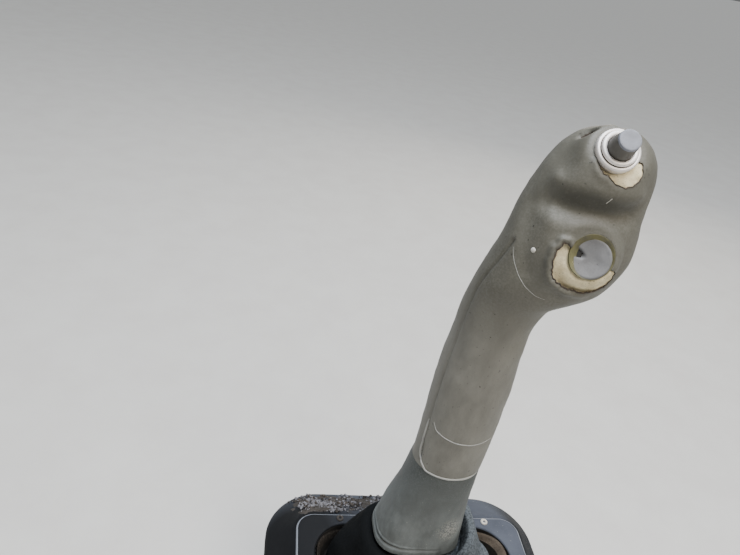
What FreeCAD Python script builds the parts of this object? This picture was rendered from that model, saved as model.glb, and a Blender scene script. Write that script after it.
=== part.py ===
import FreeCAD, Part
import math
import os

V = FreeCAD.Vector
Y_AXIS = V(0, 1, 0)
Z_AXIS = V(0, 0, 1)
CORNERS = ((1, 1), (-1, 1), (-1, -1), (1, -1))

# Hand control lever of a skid steer loader, left-hand side, in millimetres.
# +X is forward on the machine, +Y is outboard, +Z is up.
# The origin is the centre of the four floor bolts, on the underside of the mounting plate.

# A cutting tool runs this far past the face it opens, and a round end keeps a side this short
past = 1.0
short_side = 0.02

# Mounting plate on the console
plate_thick = 5.0
plate_inset = 5.0
bolt_inset_x = 15.0
bolt_inset_y = 23.0
bolt_hole_radius = 4.5
slot_length = 76.0
slot_width = 36.0

# Pivot under the plate
pivot_z = -45.0
pivot_bolt_radius = 6.0
pivot_running_gap = 0.05
ear_gap = 48.0
ear_thick = 6.0
ear_top_length = 74.0
ear_eye_radius = 17.0
hub_radius = 15.0
hub_end_gap = 0.6
bush_radius = 10.0
bush_length = 18.0
washer_radius = 12.5
washer_thick = 2.0
pivot_head_flats = 19.0
pivot_head_height = 7.5
pivot_nut_height = 10.0
bolt_end = 4.0

# Lever tube and crank
tube_radius = 11.0
tube_wall = 2.5
tube_top = 250.0
crank_thick = 8.0
crank_reach = 60.0
crank_eye_radius = 12.0
crank_bore_radius = 5.0

# Cover moulding over the plate
cover_base_length = 200.0
cover_base_width = 140.0
cover_top_length = 162.0
cover_top_width = 67.0
cover_height = 28.0
cover_foot = 4.0
cover_base_corner = 39.0
cover_top_corner = 12.0
cover_wall = 3.0
opening_length = 136.0
opening_width = 52.0
opening_corner = 23.0
collar_drop = 4.0
collar_wall = 2.0
screw_front = 56.0
screw_rear = 50.0
screw_y = 30.0
screw_radius = 1.25
screw_head_radius = 1.8
screw_head_height = 1.0
screw_tip = 0.5
cover_washer_radius = 2.7
cover_washer_thick = 0.8
screw_fit = 0.2
standoff_radius = 4.0

# Gaiter and the frame that clamps it under the cover
gaiter_wall = 1.3
gaiter_flange = 2.0
gaiter_seat_gap = 0.2
gaiter_neck_gap = 0.2
neck_radius = tube_radius + gaiter_neck_gap + gaiter_wall
retainer_thick = 2.5
retainer_end = 3.0
retainer_side = 3.5
retainer_reveal = 2.0
flange_overlap = 0.6
clip_height = 6.0
clip_drop = 2.0
clip_thick = 0.8

# Grip moulding: skin over a foam core
skin = 1.8
core_gap = 0.1
loft_steps = 2
oval_sides = 32
hidden_sides = 18
small_sides = 12
ring_sides = 32
corner_steps = 8
cuff_wall = 2.4
cuff_roof = 104.0

# Two thumb switches: centre on the skin, then the way they face
upper_centre = V(22.8, -12.4, 321.2)
upper_azimuth = -98.0
upper_elevation = 42.0
nut_radius = 10.0
nut_step_radius = 8.5
nut_height = 2.6
nut_step_height = 1.6
nut_bore_radius = 6.2
plunger_gap = 0.25
plunger_tip_radius = 4.6
plunger_rise = 7.8
plunger_travel = 3.0
lower_centre = V(21.0, -27.5, 279.0)
lower_azimuth = -100.0
lower_elevation = 20.0
cap_recess_radius = 10.0
cap_recess_depth = 3.0
cap_gap = 0.3
cap_thick = 2.2
cap_tilt = 8.0
switch_body_radius = 7.8
switch_body_length = 20.0
switch_end_gap = 0.2
recess_reach = 30.0
plunger_seat = 0.5
cap_seat_gap = 0.1
tear_depth = 12.0

# Sections of the grip: height, rear, front, inboard, outboard
GRIP_SECTIONS = (
    (127.0, -22.6, 18.5, -18.2, 18.2),
    (150.0, -22.0, 19.4, -18.8, 18.8),
    (180.0, -21.9, 19.8, -19.2, 19.2),
    (222.0, -19.2, 18.6, -18.6, 18.6),
    (239.0, -17.6, 22.6, -20.0, 19.0),
    (256.0, -14.7, 45.0, -26.5, 19.5),
    (272.0, -10.4, 51.4, -28.0, 20.0),
    (297.0, -3.0, 51.6, -22.0, 22.5),
    (315.0, 6.2, 50.2, -18.0, 22.0),
    (321.5, 11.5, 46.0, -13.5, 18.0),
    (326.4, 22.0, 37.5, -5.0, 9.0),
)

# Sections of the cuff, the hollow skirt under the grip: same columns
CUFF_SECTIONS = (
    (127.0, -22.6, 18.5, -18.2, 18.2),
    (cuff_roof, -26.2, 18.2, -18.0, 18.0),
    (82.0, -32.0, 18.6, -18.8, 18.8),
    (60.0, -35.0, 20.4, -20.0, 20.0),
)

# Sections of the gaiter from its neck down: same columns
GAITER_SECTIONS = (
    (92.0, -neck_radius, neck_radius, -neck_radius, neck_radius),
    (72.0, -neck_radius, neck_radius, -neck_radius, neck_radius),
    (60.0, -14.5, 14.5, -14.5, 14.5),
    (57.0, -35.0, 27.0, -24.0, 24.0),
    (50.0, -45.0, 33.0, -28.0, 28.0),
    (42.0, -52.0, 38.0, -28.5, 28.5),
    (34.0, -57.0, 45.0, -27.0, 27.0),
    (27.0, -60.5, 55.0, -24.5, 24.5),
)

# Torn edge of the skin round each switch, seen along the switch: right, down
UPPER_TEAR = (
    (-5.5, 4.0), (-7.5, 6.3), (-6.3, 8.2), (-5.0, 10.6), (-2.9, 11.2), (-1.8, 12.4), (1.3, 14.4),
    (5.0, 14.9), (8.8, 13.2), (11.4, 10.8), (12.5, 7.5), (12.0, 3.6), (8.0, 2.0),
)
LOWER_TEAR = (
    (-8.8, -1.5), (-11.5, -4.4), (-13.2, -4.0), (-15.3, -0.5), (-15.8, 3.5), (-15.4, 7.9), (-14.4, 11.1),
    (-11.9, 13.4), (-8.0, 15.6), (-2.9, 16.7), (2.8, 16.7), (7.7, 15.7), (12.1, 13.0), (14.7, 8.6),
    (13.6, 5.5), (8.0, 3.0),
)


def facing(azimuth, elevation):
    """Unit vector that points along the given azimuth and elevation."""
    turn = math.radians(azimuth)
    rise = math.radians(elevation)
    return V(math.cos(rise) * math.cos(turn), math.cos(rise) * math.sin(turn), math.sin(rise))


def cylinder(radius, length, start, direction):
    return Part.makeCylinder(radius, length, start, direction)


def tube(outer, inner, length, start, direction):
    return cylinder(outer, length, start, direction).cut(cylinder(inner, length, start, direction))


def flat_face(ring):
    return Part.Face(Part.makePolygon(ring + ring[:1]))


def prism(radius, length, start, direction, sides):
    """Bar with flat sides whose corners lie on the radius."""
    turns = [2 * math.pi * step / sides for step in range(sides)]
    corners = [V(radius * math.cos(turn), radius * math.sin(turn), 0) for turn in turns]
    bar = flat_face(corners).extrude(V(0, 0, length))
    bar.Placement = FreeCAD.Placement(start, FreeCAD.Rotation(Z_AXIS, direction))
    return bar


def post(radius, length, start):
    """Upright small pin, for fasteners too small to need a true round."""
    return prism(radius, length, start, Z_AXIS, small_sides)


def collar_ring(outer, inner, length, start, direction):
    """Ring for hidden places, inside the outer radius and clear of the inner one."""
    bore_corner = inner / math.cos(math.pi / ring_sides)
    bore = prism(bore_corner, length + 2 * past, start - direction * past, direction, ring_sides)
    return prism(outer, length, start, direction, ring_sides).cut(bore)


def ring_loft(rings):
    """Body with flat facets through rings that have equal numbers of points."""
    faces = [flat_face(rings[0]), flat_face(rings[-1])]
    for lower, upper in zip(rings, rings[1:]):
        for i in range(len(lower)):
            faces.append(flat_face([lower[i - 1], lower[i], upper[i]]))
            faces.append(flat_face([lower[i - 1], upper[i], upper[i - 1]]))
    shell = Part.makeShell(faces)
    shell.sewShape()
    body = Part.makeSolid(shell)
    if body.Volume < 0:
        body.reverse()
    return body


def rounded_ring(length, width, corner, z):
    """Rectangle centred on the Z axis, each corner rounded by a row of short sides."""
    points = []
    for quarter, (sx, sy) in enumerate(CORNERS):
        centre = V(sx * (length / 2 - corner), sy * (width / 2 - corner), z)
        for step in range(corner_steps + 1):
            turn = math.radians(90 * (quarter + step / corner_steps))
            points.append(centre + V(corner * math.cos(turn), corner * math.sin(turn), 0))
    return points


def rounded_block(length, width, corner, z, height):
    return flat_face(rounded_ring(length, width, corner, z)).extrude(V(0, 0, height))


def oval_ring(z, rear, front, inboard, outboard, sides):
    """Ring of straight sides on the ellipse that fills the given box at one height."""
    half_x = (front - rear) / 2
    half_y = (outboard - inboard) / 2
    centre = V((front + rear) / 2, (outboard + inboard) / 2, z)
    turns = [2 * math.pi * step / sides for step in range(sides)]
    return [centre + V(half_x * math.cos(turn), half_y * math.sin(turn), 0) for turn in turns]


def row_slopes(heights, values):
    """Slopes for a smooth curve through the table that never swings past its rows."""
    rises = [(b - a) / (d - c) for a, b, c, d in zip(values, values[1:], heights, heights[1:])]
    slopes = [rises[0]]
    for before, after in zip(rises, rises[1:]):
        slopes.append(0.0 if before * after <= 0 else 2 * before * after / (before + after))
    return slopes + [rises[-1]]


def smooth_rows(table, steps):
    """Rows of the table with more rows worked out between them along smooth curves."""
    heights = [row[0] for row in table]
    columns = list(zip(*table))[1:]
    slopes = [row_slopes(heights, column) for column in columns]
    rows = []
    for i in range(len(table) - 1):
        span = heights[i + 1] - heights[i]
        for step in range(steps):
            t = step / steps
            keep = (1 + 2 * t) * (1 - t) ** 2
            leave = t * (1 - t) ** 2 * span
            reach = t * t * (3 - 2 * t)
            arrive = t * t * (t - 1) * span
            sizes = []
            for column, slope in zip(columns, slopes):
                size = keep * column[i] + leave * slope[i] + reach * column[i + 1] + arrive * slope[i + 1]
                sizes.append(size)
            rows.append((heights[i] + t * span, *sizes))
    return rows + [tuple(table[-1])]


def oval_loft(sections, steps=loft_steps):
    """Body through oval sections, with smooth rows worked out between them."""
    return ring_loft([oval_ring(*row, oval_sides) for row in smooth_rows(sections, steps)])


def inner_loft(sections, inset, top_inset=0.0, bottom_inset=0.0):
    """Hidden body a wall's thickness inside oval sections, with straight sides."""
    rings = []
    highest = max(row[0] for row in sections)
    lowest = min(row[0] for row in sections)
    for z, rear, front, inboard, outboard in sections:
        if z == highest:
            z -= top_inset
        if z == lowest:
            z += bottom_inset
        box = (rear + inset, front - inset, inboard + inset, outboard - inset)
        rings.append(oval_ring(z, *box, hidden_sides))
    return ring_loft(rings)


def switch_axes(direction):
    """Right and down on the face of a switch that looks along the given direction."""
    right = Z_AXIS.cross(direction)
    right.normalize()
    down = right.cross(direction)
    down.normalize()
    return right, down


def tear_prism(outline, centre, direction):
    """Block with a torn outline that cuts the skin from in front of a switch."""
    right, down = switch_axes(direction)
    back = centre - direction * tear_depth
    points = [back + right * across + down * below for across, below in outline]
    return flat_face(points).extrude(direction * (tear_depth + recess_reach))


def screw_places():
    return [(x, sy * screw_y) for x in (-screw_rear, screw_front) for sy in (-1, 1)]


def plate_size():
    """Length, width and corner of the plate, which fits inside the foot of the cover."""
    length = cover_base_length - 2 * plate_inset
    return length, cover_base_width - 2 * plate_inset, cover_base_corner - plate_inset


def make_mounting_plate():
    length, width, corner = plate_size()
    plate = rounded_block(length, width, corner, 0, plate_thick)
    slot_corner = (slot_width - short_side) / 2
    plate = plate.cut(rounded_block(slot_length, slot_width, slot_corner, -past, plate_thick + 2 * past))
    for sx, sy in CORNERS:
        place = V(sx * (length / 2 - bolt_inset_x), sy * (width / 2 - bolt_inset_y), -past)
        plate = plate.cut(cylinder(bolt_hole_radius, plate_thick + 2 * past, place, Z_AXIS))
    for x, y in screw_places():
        plate = plate.cut(post(screw_radius, plate_thick + 2 * past, V(x, y, -past)))
    return plate


def make_ear(side):
    """Tapered lug under the plate that carries one end of the pivot bolt."""
    near = ear_gap / 2 if side > 0 else -ear_gap / 2 - ear_thick
    half_top = ear_top_length / 2
    drop = -pivot_z
    reach = math.hypot(half_top, drop)
    angle = math.acos(ear_eye_radius / reach) - math.atan2(drop, half_top)
    tangent = V(ear_eye_radius * math.cos(angle), near, pivot_z - ear_eye_radius * math.sin(angle))
    mirror = V(-tangent.x, near, tangent.z)
    corners = [V(-half_top, near, 0), V(half_top, near, 0), tangent]
    lines = [Part.LineSegment(a, b).toShape() for a, b in zip(corners, corners[1:])]
    arc = Part.Arc(tangent, V(0, near, pivot_z - ear_eye_radius), mirror).toShape()
    closing = Part.LineSegment(mirror, corners[0]).toShape()
    ear = Part.Face(Part.Wire(lines + [arc, closing])).extrude(V(0, ear_thick, 0))
    return ear.cut(cylinder(pivot_bolt_radius, ear_thick + 2 * past, V(0, near - past, pivot_z), Y_AXIS))


def pivot_stack():
    """Y of the outer faces of the ears and of the washers on them."""
    ear_face = ear_gap / 2 + ear_thick
    return ear_face, ear_face + washer_thick


def make_pivot_bolt():
    washer_face = pivot_stack()[1]
    shank_end = washer_face + pivot_nut_height + bolt_end
    shank = cylinder(pivot_bolt_radius, washer_face + shank_end, V(0, -washer_face, pivot_z), Y_AXIS)
    head = prism(pivot_head_flats / math.sqrt(3), pivot_head_height, V(0, -washer_face, pivot_z), -Y_AXIS, 6)
    return head.fuse(shank).removeSplitter()


def make_pivot_washers():
    ear_face, washer_face = pivot_stack()
    starts = [V(0, y, pivot_z) for y in (-washer_face, ear_face)]
    return Part.makeCompound(
        [collar_ring(washer_radius, pivot_bolt_radius, washer_thick, start, Y_AXIS) for start in starts])


def make_pivot_nut():
    washer_face = pivot_stack()[1]
    nut = prism(pivot_head_flats / math.sqrt(3), pivot_nut_height, V(0, washer_face, pivot_z), Y_AXIS, 6)
    bore_start = V(0, washer_face - past, pivot_z)
    return nut.cut(cylinder(pivot_bolt_radius, pivot_nut_height + 2 * past, bore_start, Y_AXIS))


def make_pivot_hub():
    half = ear_gap / 2 - hub_end_gap
    return tube(hub_radius, bush_radius, 2 * half, V(0, -half, pivot_z), Y_AXIS)


def make_hub_bushes():
    half = ear_gap / 2 - hub_end_gap
    bore = pivot_bolt_radius + pivot_running_gap
    starts = [V(0, y, pivot_z) for y in (-half, half - bush_length)]
    return Part.makeCompound([collar_ring(bush_radius, bore, bush_length, start, Y_AXIS) for start in starts])


def hub_solid():
    half = ear_gap / 2 - hub_end_gap
    return cylinder(hub_radius, 2 * half, V(0, -half, pivot_z), Y_AXIS)


def make_lever_tube():
    height = tube_top - pivot_z
    body = tube(tube_radius, tube_radius - tube_wall, height, V(0, 0, pivot_z), Z_AXIS)
    return body.cut(hub_solid())


def make_crank_arm():
    """Flat bar from the hub down to the eye that takes the push rod."""
    low = pivot_z - crank_reach
    half = crank_thick / 2
    bar = cylinder(crank_eye_radius, crank_thick, V(0, -half, low), Y_AXIS)
    web = [V(-crank_eye_radius, -half, low), V(crank_eye_radius, -half, low),
           V(hub_radius, -half, pivot_z), V(-hub_radius, -half, pivot_z)]
    bar = bar.fuse(flat_face(web).extrude(V(0, crank_thick, 0)))
    bar = bar.cut(hub_solid())
    bore = cylinder(crank_bore_radius, crank_thick + 2 * past, V(0, -half - past, low), Y_AXIS)
    return bar.cut(bore).removeSplitter()


def cover_size(z, shrink):
    """Length, width and corner of the cover's sloping form at one height, drawn in all round."""
    share = max(0.0, (z - cover_foot) / (cover_height - cover_foot))
    length = cover_base_length + share * (cover_top_length - cover_base_length)
    width = cover_base_width + share * (cover_top_width - cover_base_width)
    corner = cover_base_corner + share * (cover_top_corner - cover_base_corner)
    return length - 2 * shrink, width - 2 * shrink, corner - shrink


def cover_form(shrink, low, high):
    foot = rounded_block(*cover_size(low, shrink), low, cover_foot - low)
    lower = rounded_ring(*cover_size(cover_foot, shrink), cover_foot)
    upper = rounded_ring(*cover_size(high, shrink), high)
    return foot.fuse(ring_loft([lower, upper]))


def make_cover():
    outer = cover_form(0, 0, cover_height)
    inner = cover_form(cover_wall, -past, cover_height - cover_wall)
    length = opening_length + 2 * collar_wall
    width = opening_width + 2 * collar_wall
    corner = opening_corner + collar_wall
    foot = cover_height - cover_wall - collar_drop
    collar = rounded_block(length, width, corner, foot, collar_drop + cover_wall / 2)
    opening = rounded_block(opening_length, opening_width, opening_corner, 0, cover_height + past)
    cover = outer.cut(inner).fuse(collar).cut(opening)
    for x, y in screw_places():
        cover = cover.cut(post(screw_radius + screw_fit, cover_height + past, V(x, y, 0)))
    return cover.removeSplitter()


def frame_top():
    """Top of the retaining frame, under the gaiter's flange and the cover's collar."""
    return cover_height - cover_wall - collar_drop - gaiter_seat_gap - gaiter_flange


def make_cover_standoffs():
    height = frame_top() - retainer_thick - plate_thick
    posts = []
    for x, y in screw_places():
        pillar = post(standoff_radius, height, V(x, y, plate_thick))
        posts.append(pillar.cut(post(screw_radius, height + 2 * past, V(x, y, plate_thick - past))))
    return Part.makeCompound(posts)


def frame_plate(z, height, hole_radius, is_open=True):
    """Flat frame under the cover's opening, with the four screw holes."""
    length = opening_length + 2 * retainer_end
    width = 2 * (screw_y + retainer_side)
    plate = rounded_block(length, width, cover_top_corner, z, height)
    if is_open:
        gap_length = opening_length - 2 * retainer_reveal
        gap = rounded_block(gap_length, opening_width, opening_corner, z - past, height + 2 * past)
        plate = plate.cut(gap)
    for x, y in screw_places():
        plate = plate.cut(post(hole_radius, height + 2 * past, V(x, y, z - past)))
    return plate


def make_gaiter_retainer():
    return frame_plate(frame_top() - retainer_thick, retainer_thick, screw_radius + screw_fit)


def gaiter_rows():
    """Sections of the gaiter as boxes, down to the underside of its flange."""
    foot = GAITER_SECTIONS[-1]
    return GAITER_SECTIONS + ((frame_top(), *foot[1:]),)


def make_gaiter():
    """Flexible boot from the frame under the cover up to a neck round the tube."""
    rows = gaiter_rows()
    outer = oval_loft(rows, 1)
    inner = inner_loft(rows, gaiter_wall)
    sizes = [size - math.copysign(flange_overlap, size) for size in rows[-1][1:]]
    foot = flat_face(oval_ring(frame_top() - past, *sizes, oval_sides))
    hole = foot.extrude(V(0, 0, gaiter_flange + 2 * past))
    flange = frame_plate(frame_top(), gaiter_flange, screw_radius + screw_fit, False).cut(hole)
    return outer.fuse(flange).cut(inner).removeSplitter()


def make_neck_clip():
    z = GAITER_SECTIONS[0][0] - clip_height - clip_drop
    inner = neck_radius + gaiter_neck_gap
    return collar_ring(inner + clip_thick, inner, clip_height, V(0, 0, z), Z_AXIS)


def make_cover_washers():
    rings = []
    for x, y in screw_places():
        disc = post(cover_washer_radius, cover_washer_thick, V(x, y, cover_height))
        hole = post(screw_radius + screw_fit, cover_washer_thick + 2 * past, V(x, y, cover_height - past))
        rings.append(disc.cut(hole))
    return Part.makeCompound(rings)


def make_cover_screws():
    seat = cover_height + cover_washer_thick
    screws = []
    for x, y in screw_places():
        shank = post(screw_radius, seat - screw_tip, V(x, y, screw_tip))
        head = post(screw_head_radius, screw_head_height, V(x, y, seat))
        screws.append(shank.fuse(head).removeSplitter())
    return Part.makeCompound(screws)


def upper_axis():
    return facing(upper_azimuth, upper_elevation)


def lower_axis():
    return facing(lower_azimuth, lower_elevation)


def upper_spotface(radius):
    return cylinder(radius, recess_reach, upper_centre, upper_axis())


def lower_recess(radius):
    axis = lower_axis()
    return cylinder(radius, recess_reach, lower_centre - axis * cap_recess_depth, axis)


def lower_seat():
    """Centre of the floor of the lower switch's recess."""
    return lower_centre - lower_axis() * cap_recess_depth


def switch_bore(centre, axis, radius):
    length = switch_body_length + switch_end_gap
    return cylinder(radius, length, centre - axis * length, axis)


def make_grip_skin():
    outer = oval_loft(GRIP_SECTIONS)
    inner = inner_loft(GRIP_SECTIONS, skin, skin, -past)
    shell = outer.cut(inner)
    shell = shell.cut(upper_spotface(nut_radius + cap_gap))
    shell = shell.cut(switch_bore(upper_centre, upper_axis(), switch_body_radius + cap_gap))
    shell = shell.cut(lower_recess(cap_recess_radius))
    shell = shell.cut(switch_bore(lower_seat(), lower_axis(), switch_body_radius + cap_gap))
    shell = shell.cut(tear_prism(UPPER_TEAR, upper_centre, upper_axis()))
    shell = shell.cut(tear_prism(LOWER_TEAR, lower_centre, lower_axis()))
    return max(shell.Solids, key=lambda solid: solid.Volume)


def make_foam_core():
    inset = skin + core_gap
    core = inner_loft(GRIP_SECTIONS, inset, inset)
    core = core.cut(cylinder(tube_radius, tube_top + past, V(0, 0, 0), Z_AXIS))
    core = core.cut(upper_spotface(nut_radius + cap_gap))
    core = core.cut(switch_bore(upper_centre, upper_axis(), switch_body_radius))
    core = core.cut(lower_recess(cap_recess_radius))
    core = core.cut(switch_bore(lower_seat(), lower_axis(), switch_body_radius))
    return max(core.Solids, key=lambda solid: solid.Volume)


def make_cuff():
    """Hollow flared skirt under the grip, open at its foot."""
    outer = oval_loft(CUFF_SECTIONS)
    inner = inner_loft(CUFF_SECTIONS[1:], cuff_wall, 0, -past)
    return outer.cut(inner).cut(cylinder(tube_radius, tube_top, V(0, 0, 0), Z_AXIS))


def make_upper_switch_body():
    axis = upper_axis()
    foot = upper_centre - axis * switch_body_length
    body = prism(switch_body_radius, switch_body_length, foot, axis, ring_sides)
    well = plunger_travel + past
    return body.cut(cylinder(nut_bore_radius, well, upper_centre - axis * well, axis))


def make_switch_nut():
    axis = upper_axis()
    ring = cylinder(nut_radius, nut_height, upper_centre, axis)
    step = cylinder(nut_step_radius, nut_height + nut_step_height, upper_centre, axis)
    bore_length = nut_height + nut_step_height + 2 * past
    bore = cylinder(nut_bore_radius, bore_length, upper_centre - axis * past, axis)
    return ring.fuse(step).removeSplitter().cut(bore)


def make_plunger():
    axis = upper_axis()
    foot = upper_centre - axis * plunger_seat
    base_radius = nut_bore_radius - plunger_gap
    nut_top = nut_height + nut_step_height
    collar = nut_top + plunger_seat + plunger_travel
    barrel = cylinder(base_radius, collar, foot, axis)
    taper_length = plunger_rise + nut_top + plunger_seat - collar
    taper = Part.makeCone(base_radius, plunger_tip_radius, taper_length, foot + axis * collar, axis)
    return barrel.fuse(taper).removeSplitter()


def make_lower_switch_body():
    axis = lower_axis()
    foot = lower_seat() - axis * switch_body_length
    return prism(switch_body_radius, switch_body_length, foot, axis, ring_sides)


def make_lower_cap():
    """Rubber cap in the lower recess, pressed in a little deeper on one side."""
    axis = lower_axis()
    down = switch_axes(axis)[1]
    lift = (cap_recess_radius - cap_gap) * math.sin(math.radians(cap_tilt)) + cap_seat_gap
    start = lower_centre - axis * (cap_recess_depth - lift)
    cap = cylinder(cap_recess_radius - 2 * cap_gap, cap_thick, start, axis)
    cap.rotate(start, down, cap_tilt)
    return cap


NODES = {
    "mounting_plate": make_mounting_plate,
    "ear_inboard": lambda: make_ear(-1),
    "ear_outboard": lambda: make_ear(1),
    "pivot_bolt": make_pivot_bolt,
    "pivot_washers": make_pivot_washers,
    "pivot_nut": make_pivot_nut,
    "pivot_hub": make_pivot_hub,
    "hub_bushes": make_hub_bushes,
    "lever_tube": make_lever_tube,
    "crank_arm": make_crank_arm,
    "cover": make_cover,
    "cover_standoffs": make_cover_standoffs,
    "gaiter_retainer": make_gaiter_retainer,
    "gaiter": make_gaiter,
    "neck_clip": make_neck_clip,
    "cover_washers": make_cover_washers,
    "cover_screws": make_cover_screws,
    "grip_skin": make_grip_skin,
    "foam_core": make_foam_core,
    "cuff": make_cuff,
    "upper_switch_body": make_upper_switch_body,
    "switch_nut": make_switch_nut,
    "plunger": make_plunger,
    "lower_switch_body": make_lower_switch_body,
    "lower_cap": make_lower_cap,
}


def main():
    os.makedirs("parts", exist_ok=True)
    for name, make in NODES.items():
        shape = make()
        print(name, len(shape.Solids), round(shape.Volume / 1000, 2), shape.isValid())
        shape.exportStep("parts/" + name + ".step")


main()
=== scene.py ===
"""Dresses the skid steer control lever: its foamed grip, skirt, boot, cover, switches and pivot."""

import math
import random
from collections import namedtuple
from functools import partial

import bmesh
import bpy
import numpy as np
from mathutils import Matrix, Vector, noise


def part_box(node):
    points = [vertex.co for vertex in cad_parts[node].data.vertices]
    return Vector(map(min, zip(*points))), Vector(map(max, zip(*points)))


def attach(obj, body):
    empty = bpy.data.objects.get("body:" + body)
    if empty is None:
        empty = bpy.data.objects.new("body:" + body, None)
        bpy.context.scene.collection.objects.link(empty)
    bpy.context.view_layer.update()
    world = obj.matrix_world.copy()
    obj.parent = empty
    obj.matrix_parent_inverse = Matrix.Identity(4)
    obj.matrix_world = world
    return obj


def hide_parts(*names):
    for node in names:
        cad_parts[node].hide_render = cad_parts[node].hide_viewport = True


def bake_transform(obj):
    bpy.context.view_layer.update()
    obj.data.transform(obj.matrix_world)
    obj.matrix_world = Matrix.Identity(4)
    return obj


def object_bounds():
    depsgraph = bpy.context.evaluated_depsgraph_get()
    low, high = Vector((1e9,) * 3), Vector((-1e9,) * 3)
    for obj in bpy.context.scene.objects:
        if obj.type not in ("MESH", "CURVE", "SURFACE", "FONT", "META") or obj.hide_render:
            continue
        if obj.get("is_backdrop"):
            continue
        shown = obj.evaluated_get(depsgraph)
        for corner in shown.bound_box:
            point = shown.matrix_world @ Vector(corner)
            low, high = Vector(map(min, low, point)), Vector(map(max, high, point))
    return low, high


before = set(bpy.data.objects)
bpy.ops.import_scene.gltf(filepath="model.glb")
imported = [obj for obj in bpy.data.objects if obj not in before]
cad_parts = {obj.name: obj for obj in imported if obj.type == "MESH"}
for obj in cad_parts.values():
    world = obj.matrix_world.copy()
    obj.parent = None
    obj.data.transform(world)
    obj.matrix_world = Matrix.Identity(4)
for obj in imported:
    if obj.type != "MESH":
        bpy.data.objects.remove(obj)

bl_info = {
    "name": "Skid steer control lever",
    "version": (1, 0, 0),
    "blender": (4, 5, 0),
    "location": "View3D > Sidebar > Lever",
    "description": "Builds the dressed control lever on its frame",
    "category": "Object",
}

MM = 0.001

# Height of the grip's foot, where the skirt begins, in millimetres
GRIP_FOOT = 127.0

# Points round each soft form
GRIP_COLUMNS = 300
FOAM_COLUMNS = 260
SKIRT_COLUMNS = 220
BOOT_COLUMNS = 240

# Rows of the boot, counted from its foot, that are lip, and that reach across the valley behind it
LIP_ROWS = 36
VALLEY_ROWS = 58

# Depth under a switch's seat that its hole and its foam reach, and how far from the seat a torn edge can be
HOLE_DEPTH = 15.0
FOAM_DEPTH = 18.0
HOLE_SPAN = 24.0

# Distance given to points that no hole reaches
FAR = 50.0

# Step along a torn outline, along a strand, and to feel which way a distance grows
TEAR_STEP = 0.9
STRAND_STEP = 1.5
SLOPE_STEP = 0.05

# Flat seat under each switch: its radius, and the width over which it fades
SWITCH_SEATS = (("upper", 10.2, 11.0), ("lower", 10.6, 6.0))

# Cover in millimetres: half length, half width and corner of its land and opening
COVER_LAND = (80.0, 33.5, 12.0)
COVER_OPENING = (68.0, 26.0, 23.0)
COVER_CORNER = 39.0
COVER_FOOT = 4.0
LIP_ROUND = 1.2
SCREW_HEAD = 1.8

# Dried mud: number of clumps, and sizes of the flakes in them
MUD_CLUMPS = 110
FLAKE_SIZES = (0.3, 0.35, 0.45, 0.6, 0.8, 1.1, 1.5)

# Camera: its place in millimetres, the ways of its right and up, and its focal length in pixels of the image
CAMERA_PLACE = (-114.1, -241.5, 384.7)
CAMERA_RIGHT = (0.98199, -0.09454, 0.16356)
CAMERA_UP = (-0.09175, 0.5182, 0.85033)
FOCAL_PIXELS = 600.0
IMAGE_WIDTH = 740.0
SENSOR_WIDTH = 36.0

# Floor and lamps in metres: name, kind, place, size or a sun's angle, power, colour
FLOOR_HALF = 60.0
FLOOR_GAP = 0.0005
LAMP_AIM = (0.01, -0.01, 0.2)
LAMPS = (
    ("sky", "SUN", (1.0, 2.0, 6.0), 1.1, 1.9, "#eef3fa"),
    ("overhead", "AREA", (0.0, -0.05, 1.6), 0.7, 32.0, "#e4ecf9"),
    ("door", "AREA", (0.3, -0.65, 1.25), 0.6, 13.0, "#fff6ea"),
    ("rim", "AREA", (0.6, 1.1, 0.7), 0.7, 4.0, "#fff4e2"),
)

# Colour that sets in along an axis of the place or the normal, on the cover partly painted shade: colour,
# start, full, axis, which of them, least
Soil = namedtuple("Soil", "tint start full axis along least", defaults=("X", "place", 0.35))
# Rubbed spot, which on the grip and the cover is a patch of painted shade: colour, centre and reach in
# millimetres, and the grain between which it sets in
RubAndShade = namedtuple("RubAndShade", "tint centre reach grain", defaults=((0.46, 0.56),))
# Hole round a switch: the switch's axes, the torn outline, the switch's radius, and each point's distance
Hole = namedtuple("Hole", "axes tear radius field")

# Grip: height, rear, front, inboard, outboard, in millimetres
GRIP_ROWS = (
    (127.0, -22.6, 18.5, -18.2, 18.2),
    (150.0, -22.0, 19.4, -18.8, 18.8),
    (180.0, -21.9, 19.8, -19.2, 19.2),
    (222.0, -19.2, 18.6, -18.6, 18.6),
    (239.0, -17.6, 22.6, -20.0, 19.0),
    (256.0, -14.7, 45.0, -26.5, 19.5),
    (272.0, -10.4, 51.4, -28.0, 20.0),
    (297.0, -3.0, 51.6, -22.0, 22.5),
    (308.0, 1.8, 51.6, -19.5, 22.7),
    (315.0, 6.2, 50.2, -17.5, 21.8),
    (319.5, 9.8, 47.6, -15.0, 19.5),
    (323.3, 14.0, 43.6, -11.6, 15.6),
    (325.6, 18.2, 39.0, -7.6, 11.4),
    (326.8, 23.0, 33.6, -3.0, 6.5),
)

# Skirt: same columns, then how square its section is
SKIRT_ROWS = (
    (127.0, -22.6, 18.5, -18.2, 18.2, 2.0),
    (104.0, -26.2, 18.2, -18.0, 18.0, 2.3),
    (82.0, -31.5, 18.6, -18.8, 18.8, 2.7),
    (60.0, -34.4, 20.2, -19.6, 19.6, 3.0),
)

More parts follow.
